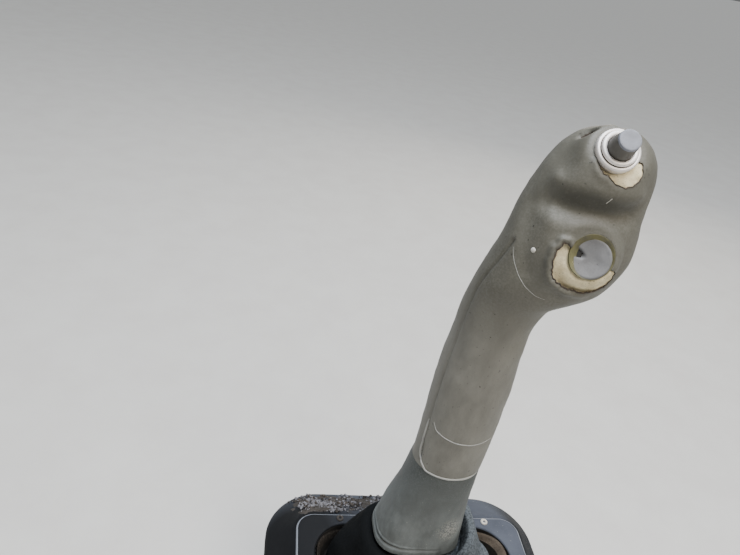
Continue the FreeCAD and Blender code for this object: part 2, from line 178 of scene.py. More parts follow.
# Boot from its neck down: rear and its height, front and its height, half width and its height, how square
BOOT_ROWS = (
    (12.5, 92.0, 12.5, 92.0, 12.5, 92.0, 2.0),
    (12.5, 72.0, 12.5, 72.0, 12.5, 72.0, 2.0),
    (16.0, 61.0, 15.0, 60.0, 14.5, 60.0, 2.1),
    (27.0, 57.6, 19.5, 57.0, 18.5, 57.0, 2.4),
    (34.0, 57.0, 21.8, 59.0, 21.4, 56.6, 2.6),
    (36.6, 57.8, 22.4, 66.0, 22.9, 57.6, 2.7),
    (38.6, 58.2, 24.2, 72.0, 24.7, 58.4, 2.7),
    (40.9, 57.1, 27.4, 72.6, 26.4, 57.6, 2.7),
    (43.5, 54.0, 31.0, 66.0, 27.8, 53.6, 2.8),
    (47.0, 49.5, 34.6, 56.5, 28.4, 48.4, 2.8),
    (52.0, 42.5, 38.6, 46.0, 28.0, 41.4, 2.7),
    (57.0, 34.5, 44.5, 35.5, 26.4, 34.0, 2.6),
    (60.2, 28.0, 52.5, 28.5, 24.8, 28.0, 2.5),
    (60.6, 22.0, 54.8, 22.0, 24.2, 22.0, 2.5),
    (61.0, 17.0, 56.2, 17.0, 24.3, 17.4, 2.6),
    (62.0, 17.2, 58.0, 17.2, 24.5, 17.6, 2.9),
    (65.6, 25.6, 65.4, 25.6, 25.0, 25.0, 3.6),
    (66.4, 26.5, 66.3, 26.5, 25.2, 26.2, 3.8),
    (66.8, 21.0, 66.7, 21.0, 25.3, 21.0, 3.8),
)

# Torn edge of the skin round each switch, seen along the switch: right, down
UPPER_TEAR = (
    (-5.5, 4.0), (-7.5, 6.3), (-6.3, 8.2), (-5.0, 10.6), (-2.9, 11.2), (-1.8, 12.4), (1.3, 14.4),
    (5.0, 14.9), (8.8, 13.2), (11.4, 10.8), (12.5, 7.5), (12.0, 3.6), (8.0, 2.0),
)
LOWER_TEAR = (
    (-8.8, -1.5), (-11.5, -4.4), (-13.2, -4.0), (-15.3, -0.5), (-15.8, 3.5), (-15.4, 7.9), (-14.4, 11.1),
    (-11.9, 13.4), (-8.0, 15.6), (-2.9, 16.7), (2.8, 16.7), (7.7, 15.7), (12.1, 13.0), (14.7, 8.6),
    (13.6, 5.5), (8.0, 3.0),
)

# First and last point of the dark rim of painted shadow on each ragged tear
RIM_SPANS = ((4, 34), (2, 62))

# Small swellings of the grip: place, radius, height
GRIP_SPOTS = (
    ((9.5, -12.5, 309.0), 4.0, 0.8),
    ((4.0, -16.0, 289.5), 4.0, 0.5),
)

# Broad hollows and ridges of the head, in the foam as well: points, half width, height
BROW = ((4.1, -9.6, 305.6), (8.6, -14.3, 305.6), (14.7, -18.0, 305.4), (22.2, -20.2, 304.6),
        (30.1, -19.9, 304.8), (35.5, -18.1, 306.0))
SADDLE = ((1.0, -12.3, 296.2), (5.0, -16.0, 296.0), (12.4, -20.2, 296.0), (20.5, -22.1, 296.4),
          (29.0, -21.8, 296.0), (35.5, -19.9, 296.4))
LEDGE = ((4.0, -18.4, 289.2), (11.0, -22.0, 289.2), (21.2, -24.0, 289.6), (32.0, -22.8, 289.8))
SIDE_RIDGE = ((2.0, -12.5, 295.5), (2.9, -18.0, 286.0), (4.8, -23.5, 274.3), (6.2, -25.5, 262.5))
SIDE_HOLLOW = ((-5.0, -7.0, 292.0), (-5.0, -12.0, 284.0), (-4.5, -16.0, 275.0), (-2.5, -20.0, 266.0))
NOTCH = ((12.2, 1.0, 322.5), (13.5, 1.1, 323.6), (14.5, 1.2, 324.4))
BROAD_LINES = ((BROW, 4.4, 2.0), (SADDLE, 4.6, -2.7), (LEDGE, 4.6, 0.2), (SIDE_RIDGE, 3.4, 0.8),
               (SIDE_HOLLOW, 4.6, -1.2), (NOTCH, 1.9, -3.6))

# Lines pressed into the skin or raised on it
REAR_CREASE = ((-8.4, -10.4, 275.0), (-9.6, -10.2, 271.2), (-12.2, -8.9, 263.3), (-14.8, -6.8, 253.7),
               (-16.6, -5.2, 243.9), (-19.2, -5.6, 222.0), (-21.4, -6.0, 180.0), (-21.8, -6.2, 150.0),
               (-20.9, -7.6, 131.0))
FRONT_FLASH = ((-19.2, -9.1, 161.3), (-17.7, -11.4, 157.6), (-13.1, -15.4, 156.1), (-7.9, -17.9, 155.3),
               (0.5, -18.8, 154.9), (8.2, -16.9, 155.6), (13.4, -13.5, 156.6))
HEAD_FLASH = ((-8.6, -12.6, 273.0), (-8.0, -14.4, 269.6), (-7.4, -16.3, 267.1), (-5.2, -19.6, 262.5),
              (-1.5, -22.5, 258.4), (3.5, -24.6, 255.5), (8.2, -25.7, 254.5))
BEAD_END = ((-20.9, -7.6, 131.5), (-21.7, -6.2, 138.0), (-21.9, -5.9, 147.0), (-21.6, -5.8, 160.0))
BEAD_ARC = (-42, -144)
# Flecks of paint on the head
NICK = ((21.6, -20.7, 302.0), (22.1, -20.6, 303.4), (22.9, -20.2, 304.8))
PAINT_CHIP = (-2.2, -19.3, 275.4)


def linear(code):
    """Linear colour with alpha from an sRGB hex value."""
    parts = [int(code[i:i + 2], 16) / 255 for i in (1, 3, 5)]
    return tuple(p / 12.92 if p <= 0.04045 else ((p + 0.055) / 1.055) ** 2.4 for p in parts) + (1.0,)


def length(name, description, millimetres):
    """Setting for a size, kept in metres."""
    return bpy.props.FloatProperty(name=name, description=description, default=millimetres * MM,
                                   subtype="DISTANCE", unit="LENGTH", precision=4)


def angle(name, description, degrees):
    """Setting for a direction."""
    return bpy.props.FloatProperty(name=name, description=description, default=math.radians(degrees),
                                   subtype="ANGLE")


def place(name, description, metres):
    """Setting for a place."""
    return bpy.props.FloatVectorProperty(name=name, description=description, default=metres, size=3,
                                         subtype="TRANSLATION", unit="LENGTH")


def colour(name, description, code):
    """Setting for a colour, given as an sRGB hex value."""
    return bpy.props.FloatVectorProperty(name=name, description=description, default=linear(code),
                                         subtype="COLOR", size=4, min=0.0, max=1.0)


class GripSettings(bpy.types.PropertyGroup):
    """Sizes and colours of the grip moulding and the skirt under it"""

    skin: length("Skin", "Thickness of the torn skin", 1.1)
    bead: length("Bead", "Radius of the worn bead round the foot of the grip", 0.65)
    skirt_wall: length("Skirt wall", "Thickness of the skirt", 2.2)
    skin_colour: colour("Skin", "Urethane skin where hands keep it clean", "#797870")
    worn_colour: colour("Worn skin", "Urethane skin in its dark patches", "#58564e")
    dust_colour: colour("Dust", "Dry dust that lies on the moulding", "#99958b")
    foam_colour: colour("Foam", "Foam under the torn skin", "#e8dbb4")


class SwitchSettings(bpy.types.PropertyGroup):
    """Places, sizes and colours of the two thumb switches"""

    upper_place: place("Upper switch", "Centre of the ring nut's seat", (0.0228, -0.0124, 0.3212))
    upper_azimuth: angle("Upper azimuth", "Way the upper switch faces", -98)
    upper_rise: angle("Upper rise", "Way the upper switch looks up", 42)
    lower_place: place("Lower switch", "Centre of the cap's recess on the skin", (0.021, -0.0275, 0.279))
    lower_azimuth: angle("Lower azimuth", "Way the lower switch faces", -100)
    lower_rise: angle("Lower rise", "Way the lower switch looks up", 20)
    nut_radius: length("Nut radius", "Radius of the plated ring nut", 9.5)
    cap_radius: length("Cap radius", "Radius of the pressed rubber cap", 9.2)
    cup_radius: length("Cup radius", "Radius of the cup round the cap", 9.9)
    button_height: length("Button height", "Tip of the push button above the nut's seat", 12.0)
    nut_colour: colour("Nut", "Plated nut", "#f1ece8")
    tip_colour: colour("Button tip", "Worn grey rubber of the button's tip", "#7d818d")
    barrel_colour: colour("Button barrel", "Dirty side of the button", "#4d4a44")
    cap_colour: colour("Cap", "Grey rubber of the pressed cap", "#66676a")


class CoverSettings(bpy.types.PropertyGroup):
    """Sizes and colours of the console cover and the boot"""

    edge_round: length("Edge round", "Rounding of the cover's edges", 1.3)
    collar_drop: length("Collar", "Depth of the collar round the opening", 7.0)
    cover_colour: colour("Cover", "Moulded cover, wiped", "#4f535c")
    grime_colour: colour("Grime", "Brown dust on the lip of the opening", "#7a6f62")
    valley_line: length("Valley line", "Height under which the valley round the boot's foot is black", 21.8)
    boot_colour: colour("Boot", "Black rubber of the boot", "#0d0e0f")
    boot_dust: colour("Boot dust", "Dust on the boot", "#646a6e")
    washer_colour: colour("Washer", "White nylon washer", "#d6d1c6")


def add_node(tree, kind, inputs=None, **settings):
    """Adds a shader node with its settings. Each input gets a value, or a link from a socket or a node."""
    node = tree.nodes.new(kind)
    for key, value in settings.items():
        setattr(node, key, value)
    for key, value in (inputs or {}).items():
        if isinstance(value, bpy.types.Node):
            value = next(socket for socket in value.outputs if socket.enabled)
        if isinstance(value, bpy.types.NodeSocket):
            tree.links.new(value, node.inputs[key])
        else:
            node.inputs[key].default_value = value
    return node


def tone(value):
    """Linear colour of a hex value, or a setting's colour as it is."""
    return linear(value) if isinstance(value, str) else value


def weathered(name, colours, grain_mm, patch_mm, dusting, specks=None, rough=(0.55, 0.8), bump_mm=0.12,
              stretch=1.0, soil=None, rub_and_shade=None, **constants):
    """Surface with dark patches, dust on what looks up and a fine grain, then soil, specks and a rubbed spot
    that some materials use as painted shade.

    The colours are those of the surface, its patches and its dust. Specks have a colour, a size in
    millimetres and a share of the surface. The constants are set on the shader's own sockets.
    """
    material = bpy.data.materials.new(name)
    material.use_nodes = True
    tree = material.node_tree
    tree.nodes.clear()
    add = partial(add_node, tree)
    base, dark, dust = (tone(value) for value in colours)
    spot = add("ShaderNodeTexCoord").outputs["Object"]
    normal = add("ShaderNodeSeparateXYZ", {"Vector": add("ShaderNodeNewGeometry").outputs["Normal"]})
    drawn = add("ShaderNodeVectorMath", {0: spot, 1: (1.0, 1.0, stretch)}, operation="MULTIPLY")
    patch = add("ShaderNodeTexNoise",
                {"Vector": drawn, "Scale": 1000 / patch_mm, "Detail": 7.0, "Roughness": 0.62})
    grain = add("ShaderNodeTexNoise",
                {"Vector": spot, "Scale": 1000 / grain_mm, "Detail": 4.0, "Roughness": 0.6})
    clean = add("ShaderNodeMapRange", {"Value": patch, "From Min": 0.36, "From Max": 0.62})
    lying = add("ShaderNodeMapRange", {"Value": normal.outputs["Z"], "From Min": -0.2, "To Max": dusting})
    caught = add("ShaderNodeMapRange", {"Value": patch, "To Max": dusting * 0.45})
    dusted = add("ShaderNodeMath", {0: lying, 1: grain, 2: caught}, operation="MULTIPLY_ADD", use_clamp=True)
    layers = [(clean, base), (dusted, dust)]
    if soil:
        way = add("ShaderNodeSeparateXYZ", {"Vector": spot}) if soil.along == "place" else normal
        toward = add("ShaderNodeMapRange",
                     {"Value": way.outputs[soil.axis], "From Min": soil.start, "From Max": soil.full})
        clots = add("ShaderNodeMapRange",
                    {"Value": grain, "From Min": 0.36, "From Max": 0.58, "To Min": soil.least})
        layers.append((add("ShaderNodeMath", {0: toward, 1: clots}, operation="MULTIPLY"), tone(soil.tint)))
    if specks:
        tint, speck_mm, share = specks
        dots = add("ShaderNodeTexNoise", {"Vector": spot, "Scale": 1000 / speck_mm, "Detail": 2.0})
        seen = add("ShaderNodeMapRange", {"Value": dots, "From Min": 0.72 - share, "From Max": 0.78 - share})
        layers.append((seen, tone(tint)))
    # Rubbed spot, on the grip and the cover a patch of painted shade
    if rub_and_shade:
        apart = add("ShaderNodeVectorMath", {0: spot, 1: [c * MM for c in rub_and_shade.centre]}, operation="SUBTRACT")
        scaled = add("ShaderNodeVectorMath", {0: apart, 1: [1 / (c * MM) for c in rub_and_shade.reach]},
                     operation="MULTIPLY")
        away = add("ShaderNodeVectorMath", {0: scaled}, operation="LENGTH")
        near = add("ShaderNodeMapRange", {"Value": away, "From Min": 1.0, "From Max": 0.35})
        pores = add("ShaderNodeMapRange",
                    {"Value": grain, "From Min": rub_and_shade.grain[0], "From Max": rub_and_shade.grain[1]})
        layers.append((add("ShaderNodeMath", {0: near, 1: pores}, operation="MULTIPLY"), tone(rub_and_shade.tint)))
    seen_colour = dark
    for share, over in layers:
        seen_colour = add("ShaderNodeMix", {"Factor": share, "A": seen_colour, "B": over}, data_type="RGBA")
    roughness = add("ShaderNodeMapRange", {"Value": patch, "From Min": 0.3, "From Max": 0.7,
                                           "To Min": rough[0], "To Max": rough[1]})
    bump = add("ShaderNodeBump", {"Height": grain, "Strength": 1.0, "Distance": bump_mm * MM})
    own = {key.replace("_", " "): value for key, value in constants.items()}
    surface = add("ShaderNodeBsdfPrincipled",
                  {"Base Color": seen_colour, "Roughness": roughness, "Normal": bump, **own})
    add("ShaderNodeOutputMaterial", {"Surface": surface})
    return material


def foamed_urethane():
    """Self-skinned urethane foam from a mould: a dull grey-olive with a fine pebble and dry dust, and painted
    shade in the hollow under its brow.
    """
    grip = bpy.context.scene.lever_grip
    return weathered("foamed_urethane", (grip.skin_colour, grip.worn_colour, grip.dust_colour), 1.1, 20.0,
                     0.45, specks=("#35332d", 1.6, 0.02), rough=(0.48, 0.7), bump_mm=0.10, stretch=0.45,
                     # Darker olive over the head, from 205 mm up
                     soil=Soil("#5b594f", 0.205, 0.25, "Z", least=0.72),
                     # Painted shade: a dark spot along the hollow under the brow
                     rub_and_shade=RubAndShade("#3b392f", (17.0, -19.0, 300.5), (28.0, 14.0, 7.0), (-0.2, 0.45)), IOR=1.5)


def moulded_rubber():
    """Press-moulded rubber: darker and greener than the foam, with dust rubbed into its pores."""
    return weathered("moulded_rubber", ("#6b706e", "#484c49", "#898d8c"), 0.9, 11.0, 0.4,
                     specks=("#96958e", 0.9, 0.005), rough=(0.55, 0.78), stretch=0.5,
                     # Darker toward the top, from 80 mm up
                     soil=Soil("#484c4a", 0.08, 0.12, "Z", least=0.7),
                     rub_and_shade=RubAndShade("#94948d", (7.0, -17.5, 82.0), (10.0, 10.0, 11.0)), IOR=1.52)


def torn_foam():
    """Urethane foam with open cells, torn: pale cream with small pores and dirt in them."""
    grip = bpy.context.scene.lever_grip
    return weathered("torn_foam", (grip.foam_colour, "#c9ba92", "#ece3c6"), 0.5, 5.0, 0.3,
                     specks=("#7d705a", 0.7, 0.06), rough=(0.85, 0.98), bump_mm=0.25, IOR=1.4)


def neoprene_boot():
    """Moulded neoprene: near black and silky, grey where dust clings to it."""
    cover = bpy.context.scene.lever_cover
    return weathered("neoprene_boot", (cover.boot_colour, "#070808", cover.boot_dust), 1.3, 14.0, 0.03,
                     rough=(0.75, 0.95), bump_mm=0.25, soil=Soil(cover.boot_dust, 0.0, 0.026), IOR=1.52,
                     Specular_IOR_Level=0.08)


def dusty_boot_foot():
    """Neoprene under a film of brown dust, matt and gritty."""
    cover = bpy.context.scene.lever_cover
    return weathered("dusty_boot_foot", ("#574e45", "#352f29", cover.grime_colour), 1.0, 8.0, 0.5,
                     specks=("#6f6558", 1.2, 0.01), rough=(0.8, 0.95), bump_mm=0.25,
                     soil=Soil("#1d1a17", 0.03, -0.01, least=0.8), IOR=1.45, Specular_IOR_Level=0.1)


def moulded_abs():
    """Grained ABS moulding: cool blue-grey, satin, with brown dust specks, dark dirt and painted shade on the
    slopes that face +x, and painted shade over its rear part.
    """
    cover = bpy.context.scene.lever_cover
    return weathered("moulded_abs", (cover.cover_colour, "#3d4149", "#60636b"), 0.8, 30.0, 0.25,
                     specks=("#96948d", 1.2, 0.02), rough=(0.55, 0.75), bump_mm=0.06,
                     # Dark dirt and painted shade on the slopes that face +x
                     soil=Soil("#131416", 0.08, 0.5, along="normal", least=0.85),
                     # Painted shade over the rear part of the cover
                     rub_and_shade=RubAndShade("#17181a", (-90.0, 14.0, 22.0), (98.0, 90.0, 60.0), (0.2, 0.3)), IOR=1.54,
                     Specular_IOR_Level=0.1)


def painted_shade_abs():
    """The same moulding down inside the opening: near black as painted shade, with specks of grit."""
    return weathered("painted_shade_abs", ("#26231f", "#171513", "#3d3832"), 0.9, 9.0, 0.25,
                     specks=("#5a524a", 1.3, 0.02), rough=(0.75, 0.95), bump_mm=0.2, stretch=0.3, IOR=1.5)


def abs_edge_wear_and_highlight():
    """The moulding's edge, polished by sleeves and boots, its paler colour partly a painted highlight."""
    return weathered("abs_edge_wear_and_highlight", ("#7b8088", "#5e636b", "#94969b"), 0.9, 12.0, 0.3,
                     rough=(0.35, 0.5), bump_mm=0.04, IOR=1.54)


def torn_edge_dirt_and_shade():
    """Broken edge of the urethane skin: brown-black where dirt has filled the tear, and painted shade in the
    notch, the nut's groove and the torn rims.
    """
    return weathered("torn_edge_dirt_and_shade", ("#4b4138", "#2a2520", "#6d6152"), 0.6, 3.0, 0.2,
                     rough=(0.8, 0.95), bump_mm=0.2, IOR=1.5)


def pit_grease_and_shade():
    """Rubber or plastic in a pit, black with old grease, and painted shade in the boot's valley."""
    return weathered("pit_grease_and_shade", ("#1c1a17", "#100f0d", "#2c2924"), 0.6, 3.0, 0.1,
                     rough=(0.6, 0.9), bump_mm=0.1, IOR=1.5, Specular_IOR_Level=0.08)


def paint_fleck():
    """Dry white paint: flat, chalky and slightly creamy."""
    return weathered("paint_fleck", ("#dcdad2", "#bdb9ad", "#e6e3da"), 0.5, 2.0, 0.2,
                     rough=(0.7, 0.9), bump_mm=0.05, IOR=1.5)


def plated_zinc():
    """Bright nickel plate on a die-cast ring: a clean white glint, partly painted into its near-white
    half-matt colour, with faint scuffs.
    """
    look = bpy.context.scene.lever_switches
    return weathered("plated_zinc", (look.nut_colour, "#ddd6d0", "#f6f2ee"), 0.6, 6.0, 0.3,
                     specks=("#8a7b74", 0.8, 0.0), rough=(0.38, 0.52), bump_mm=0.02, Metallic=0.35)


def button_rubber(name, fresh):
    """Moulded rubber of a switch cap: smooth, chalky with dust at its edge."""
    worn = tuple(part * 0.72 for part in fresh[:3]) + (1.0,)
    return weathered(name, (fresh, worn, "#b4b1a9"), 0.9, 7.0, 0.3,
                     specks=("#3d3a36", 0.8, 0.02), rough=(0.5, 0.7), bump_mm=0.05, IOR=1.5)


def white_nylon():
    """Moulded nylon washer: off-white and slightly waxy, grubby at its rim."""
    cover = bpy.context.scene.lever_cover
    return weathered("white_nylon", (cover.washer_colour, "#aaa294", "#e4dfd4"), 0.5, 3.0, 0.3,
                     rough=(0.4, 0.55), bump_mm=0.03, IOR=1.53)


def zinc_steel():
    """Zinc-plated steel, rolled: a soft grey-blue shine with dull dirt in its corners."""
    return weathered("zinc_steel", ("#a5a6a2", "#7b7a74", "#8b877d"), 0.7, 8.0, 0.15,
                     specks=("#5b4a3a", 1.2, 0.02), rough=(0.3, 0.5), bump_mm=0.02, Metallic=0.9)


def stove_enamel():
    """Black stove enamel on steel: satin, with grey rubs and a few rust freckles."""
    return weathered("stove_enamel", ("#2a2b2d", "#1c1d1e", "#6d6a63"), 1.0, 25.0, 0.2,
                     specks=("#6e452c", 1.4, 0.025), rough=(0.35, 0.6), bump_mm=0.04, IOR=1.5)


def natural_nylon():
    """Turned nylon bush: creamy and waxy."""
    return weathered("natural_nylon", ("#d9d3c0", "#bfb69e", "#c9c1ac"), 0.6, 8.0, 0.1,
                     rough=(0.35, 0.5), bump_mm=0.02, IOR=1.53)


def black_phenolic():
    """Moulded phenolic switch body: black with a dull gloss."""
    return weathered("black_phenolic", ("#1d1d1c", "#141413", "#4c4840"), 0.7, 9.0, 0.25,
                     rough=(0.35, 0.55), bump_mm=0.04, IOR=1.6)


def greasy_phenolic():
    """Dirty phenolic cup: olive-brown with old grease."""
    return weathered("greasy_phenolic", ("#68643f", "#47442e", "#7d795a"), 0.7, 5.0, 0.3,
                     rough=(0.45, 0.7), bump_mm=0.08, IOR=1.6)


def dried_mud():
    """Dried mud and grit: chalky lilac-grey flakes."""
    return weathered("dried_mud", ("#7b7a7e", "#4e4b4a", "#9a999b"), 1.0, 2.5, 0.15,
                     specks=("#37302a", 1.1, 0.05), rough=(0.9, 1.0), bump_mm=0.3, IOR=1.4)


def dried_clay():
    """Dried clay: crumbling brown flakes, a little redder than the soil."""
    return weathered("dried_clay", ("#524a43", "#352f2a", "#6c635a"), 1.0, 3.0, 0.2,
                     specks=("#2f2721", 1.1, 0.05), rough=(0.9, 1.0), bump_mm=0.3, IOR=1.4)


def packed_soil():
    """Soil and oil trodden into a crust: dark brown-black with grit."""
    return weathered("packed_soil", ("#36322e", "#211e1b", "#57514b"), 1.0, 6.0, 0.3,
                     specks=("#857f77", 1.0, 0.03), rough=(0.85, 1.0), bump_mm=0.3, IOR=1.4)


def urethane_edge_wear_and_highlight():
    """The grip's urethane, polished by wear: a paler thin edge, partly a painted highlight where it catches
    the light.
    """
    return weathered("urethane_edge_wear_and_highlight", ("#a4a49e", "#868681", "#babab4"), 1.0, 14.0, 0.4,
                     rough=(0.4, 0.55), bump_mm=0.04, IOR=1.5)


def studio_paper():
    """Matt seamless paper: pale grey, nearly even."""
    return weathered("studio_paper", ("#d4d2cc", "#cfccc6", "#d8d6d0"), 2.0, 60.0, 0.2,
                     rough=(0.85, 0.95), bump_mm=0.02, IOR=1.4)


def slopes_of(heights, values):
    """Slope of a smooth curve at each of its values, level where it turns back."""
    rises = [(b - a) / (d - c) for a, b, c, d in zip(values, values[1:], heights, heights[1:])]
    inner = [0.0 if a * b <= 0 else 2 * a * b / (a + b) for a, b in zip(rises, rises[1:])]
    return [rises[0]] + inner + [rises[-1]]


def smooth_table(table, heights):
    """Columns of the table at the given heights, on smooth curves that never swing past its rows."""
    rows = sorted(table)
    zs = [row[0] for row in rows]
    result = []
    for column in list(zip(*rows))[1:]:
        slopes = slopes_of(zs, column)
        values = []
        for z in heights:
            i = max(k for k in range(len(zs) - 1) if zs[k] <= z or k == 0)
            span = zs[i + 1] - zs[i]
            t = (z - zs[i]) / span
            values.append((1 + 2 * t) * (1 - t) ** 2 * column[i] + t * (1 - t) ** 2 * span * slopes[i]
                          + t * t * (3 - 2 * t) * column[i + 1] + t * t * (t - 1) * span * slopes[i + 1])
        result.append(values)
    return np.array(result).T


def turns_of(columns):
    """Angles of a ring's columns."""
    return np.linspace(0, 2 * math.pi, columns, endpoint=False)


def squared(wave, square):
    """Sine or cosine pushed out toward the sides of a square."""
    return np.sign(wave) * np.abs(wave) ** (2 / square)


def rings(table, heights, columns, inset=0.0):
    """Rings of points round the table's sections, in millimetres."""
    sizes = smooth_table(table, heights)
    if sizes.shape[1] == 4:
        sizes = np.hstack([sizes, np.full((len(sizes), 1), 2.0)])
    turns = turns_of(columns)
    rear, front, inboard, outboard, square = (sizes[:, k:k + 1] for k in range(5))
    x = (front + rear) / 2 + ((front - rear) / 2 - inset) * squared(np.cos(turns), square)
    y = (outboard + inboard) / 2 + ((outboard - inboard) / 2 - inset) * squared(np.sin(turns), square)
    z = np.repeat(np.array(heights, dtype=float)[:, None], columns, axis=1)
    return np.stack([x, y, z], axis=2)


def normals_of(points):
    """Outward normals of a grid of rings whose rows run upward."""
    around = np.roll(points, -1, axis=1) - np.roll(points, 1, axis=1)
    upward = np.gradient(points, axis=0)
    normal = np.cross(around, upward)
    return normal / np.maximum(np.linalg.norm(normal, axis=2, keepdims=True), 1e-9)


def near_line(points, line):
    """Distance of every point from a chain of points."""
    best = np.full(points.shape[:-1], 1e9)
    for a, b in zip(line, line[1:]):
        a = np.array(a, dtype=float)
        step = np.array(b, dtype=float) - a
        share = np.clip(((points - a) @ step) / (step @ step), 0, 1)
        best = np.minimum(best, np.linalg.norm(points - a - share[..., None] * step, axis=-1))
    return best


def lumps(points, size, height, seed=0.0):
    """Smooth random swelling at every point."""
    flat = points.reshape(-1, 3) / size + seed
    values = [noise.noise(p) for p in flat.tolist()]
    return np.array(values).reshape(points.shape[:-1]) * height


def grid_mesh(name, points, closed=True, cap_end=False):
    """Mesh from a grid of points in millimetres: rows of rings."""
    rows, columns = points.shape[:2]
    faces = []
    last = columns if closed else columns - 1
    for r in range(rows - 1):
        for c in range(last):
            d = (c + 1) % columns
            faces.append((r * columns + c, r * columns + d, (r + 1) * columns + d, (r + 1) * columns + c))
    if cap_end:
        faces.append(tuple((rows - 1) * columns + c for c in range(columns)))
    mesh = bpy.data.meshes.new(name)
    mesh.from_pydata((points.reshape(-1, 3) * MM).tolist(), [], faces)
    mesh.update()
    return mesh


def add_piece(name, data, materials, body, replaced=(), smooth=True):
    """Links a mesh or curve as a piece on a body, with its materials."""
    piece = bpy.data.objects.new(name, data)
    bpy.context.scene.collection.objects.link(piece)
    for material in materials:
        data.materials.append(material)
    if smooth and hasattr(data, "polygons"):
        data.polygons.foreach_set("use_smooth", [True] * len(data.polygons))
    if body:
        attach(piece, body)
    if replaced:
        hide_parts(*replaced)
    return piece


def seat_axes(centre, out):
    """Centre of a seat, and the ways right, down and outward of it."""
    right = np.cross((0, 0, 1), out)
    right /= np.linalg.norm(right)
    return centre, right, np.cross(right, out), out


def switch_axes(which):
    """Centre in millimetres, right, down and outward of the upper or lower switch."""
    look = bpy.context.scene.lever_switches
    centre, azimuth, rise = (getattr(look, f"{which}_{part}") for part in ("place", "azimuth", "rise"))
    out = [math.cos(rise) * math.cos(azimuth), math.cos(rise) * math.sin(azimuth), math.sin(rise)]
    return seat_axes(np.array(centre) / MM, np.array(out))


def seen_along(points, axes):
    """How far right, down and outward of a seat's centre the points are."""
    centre, *ways = axes
    offset = points - centre
    return [offset @ way for way in ways]


def lathe(profile, centre, right, down, out, columns=96):
    """Grid of rings round a seat's axis from rows of radius and height, in millimetres."""
    turns = turns_of(columns)
    rim = np.cos(turns)[:, None] * right + np.sin(turns)[:, None] * down
    return np.array([centre + radius * rim + rise * out for radius, rise in profile])


def ragged(outline, depth, seed):
    """The outline with points between its own, moved in and out a little as a tear is."""
    random.seed(seed)
    points = []
    for (ax, ay), (bx, by) in zip(outline, outline[1:] + outline[:1]):
        span = math.hypot(bx - ax, by - ay)
        pieces = max(2, round(span / TEAR_STEP))
        for k in range(pieces):
            t = k / pieces
            push = random.uniform(-depth, depth)
            points.append((ax + t * (bx - ax) + push * (by - ay) / span,
                           ay + t * (by - ay) - push * (bx - ax) / span))
    return np.array(points)


def tears():
    """Ragged outlines of the upper and the lower tear."""
    return ragged(UPPER_TEAR, 0.35, 3), ragged(LOWER_TEAR, 0.4, 5)


def outline_distance(u, v, outline):
    """Distance from a closed outline, negative inside."""
    closed = np.vstack([outline, outline[:1]])
    inside = np.zeros(u.shape, dtype=bool)
    for (ax, ay), (bx, by) in zip(closed, closed[1:]):
        crossing = (ay > v) != (by > v)
        with np.errstate(divide="ignore", invalid="ignore"):
            inside ^= crossing & (u < (bx - ax) * (v - ay) / (by - ay) + ax)
    apart = near_line(np.stack([u, v], axis=-1), closed)
    return np.where(inside, -apart, apart)


def hole_distance(u, v, hole):
    """Distance from the edge of the hole that a tear and its switch make, negative inside."""
    return np.minimum(outline_distance(u, v, hole.tear), np.hypot(u, v) - hole.radius)


def cut_holes(mesh, points, holes, wall_mm):
    """Opens the holes in a ring mesh, draws their edges to the outline and turns a wall inward."""
    moved = points.reshape(-1, 3).copy()
    for hole in holes:
        right, down = hole.axes[1:3]
        field = hole.field.ravel()
        inside = np.nonzero((field < 0) & (field > -1.2))[0]
        for _ in range(4):
            u, v, _w = seen_along(moved[inside], hole.axes)
            here = hole_distance(u, v, hole)
            du = hole_distance(u + SLOPE_STEP, v, hole) - here
            dv = hole_distance(u, v + SLOPE_STEP, hole) - here
            size = np.maximum(np.hypot(du, dv), 1e-6)
            moved[inside] += (-here * du / size)[:, None] * right + (-here * dv / size)[:, None] * down
    lowest = np.min([hole.field.ravel() for hole in holes], axis=0)
    body = bmesh.new()
    body.from_mesh(mesh)
    doomed = [face for face in body.faces if max(lowest[vert.index] for vert in face.verts) < 0]
    for vert in body.verts:
        if lowest[vert.index] < 0:
            vert.co = Vector(moved[vert.index]) * MM
    bmesh.ops.delete(body, geom=doomed, context="FACES")

    def nearest(vert):
        """Distance in millimetres from the nearer switch, and the way that it faces."""
        return min(((vert.co / MM - Vector(hole.axes[0])).length, tuple(hole.axes[3])) for hole in holes)

    edges = [edge for edge in body.edges if edge.is_boundary and nearest(edge.verts[0])[0] < HOLE_SPAN]
    for part in bmesh.ops.extrude_edge_only(body, edges=edges)["geom"]:
        if isinstance(part, bmesh.types.BMVert):
            part.co -= Vector(nearest(part)[1]) * wall_mm * MM
        elif isinstance(part, bmesh.types.BMFace):
            part.material_index = 1
    bmesh.ops.recalc_face_normals(body, faces=body.faces)
    body.to_mesh(mesh)
    body.free()
    mesh.update()


def grip_heights():
    """Heights of the grip's rings: closer on its head, closest near its top."""
    return np.concatenate([np.arange(GRIP_FOOT, 236.0, 1.4), np.arange(236.4, 319.0, 0.6),
                           np.arange(319.2, 326.5, 0.25), [326.6, 326.8]])


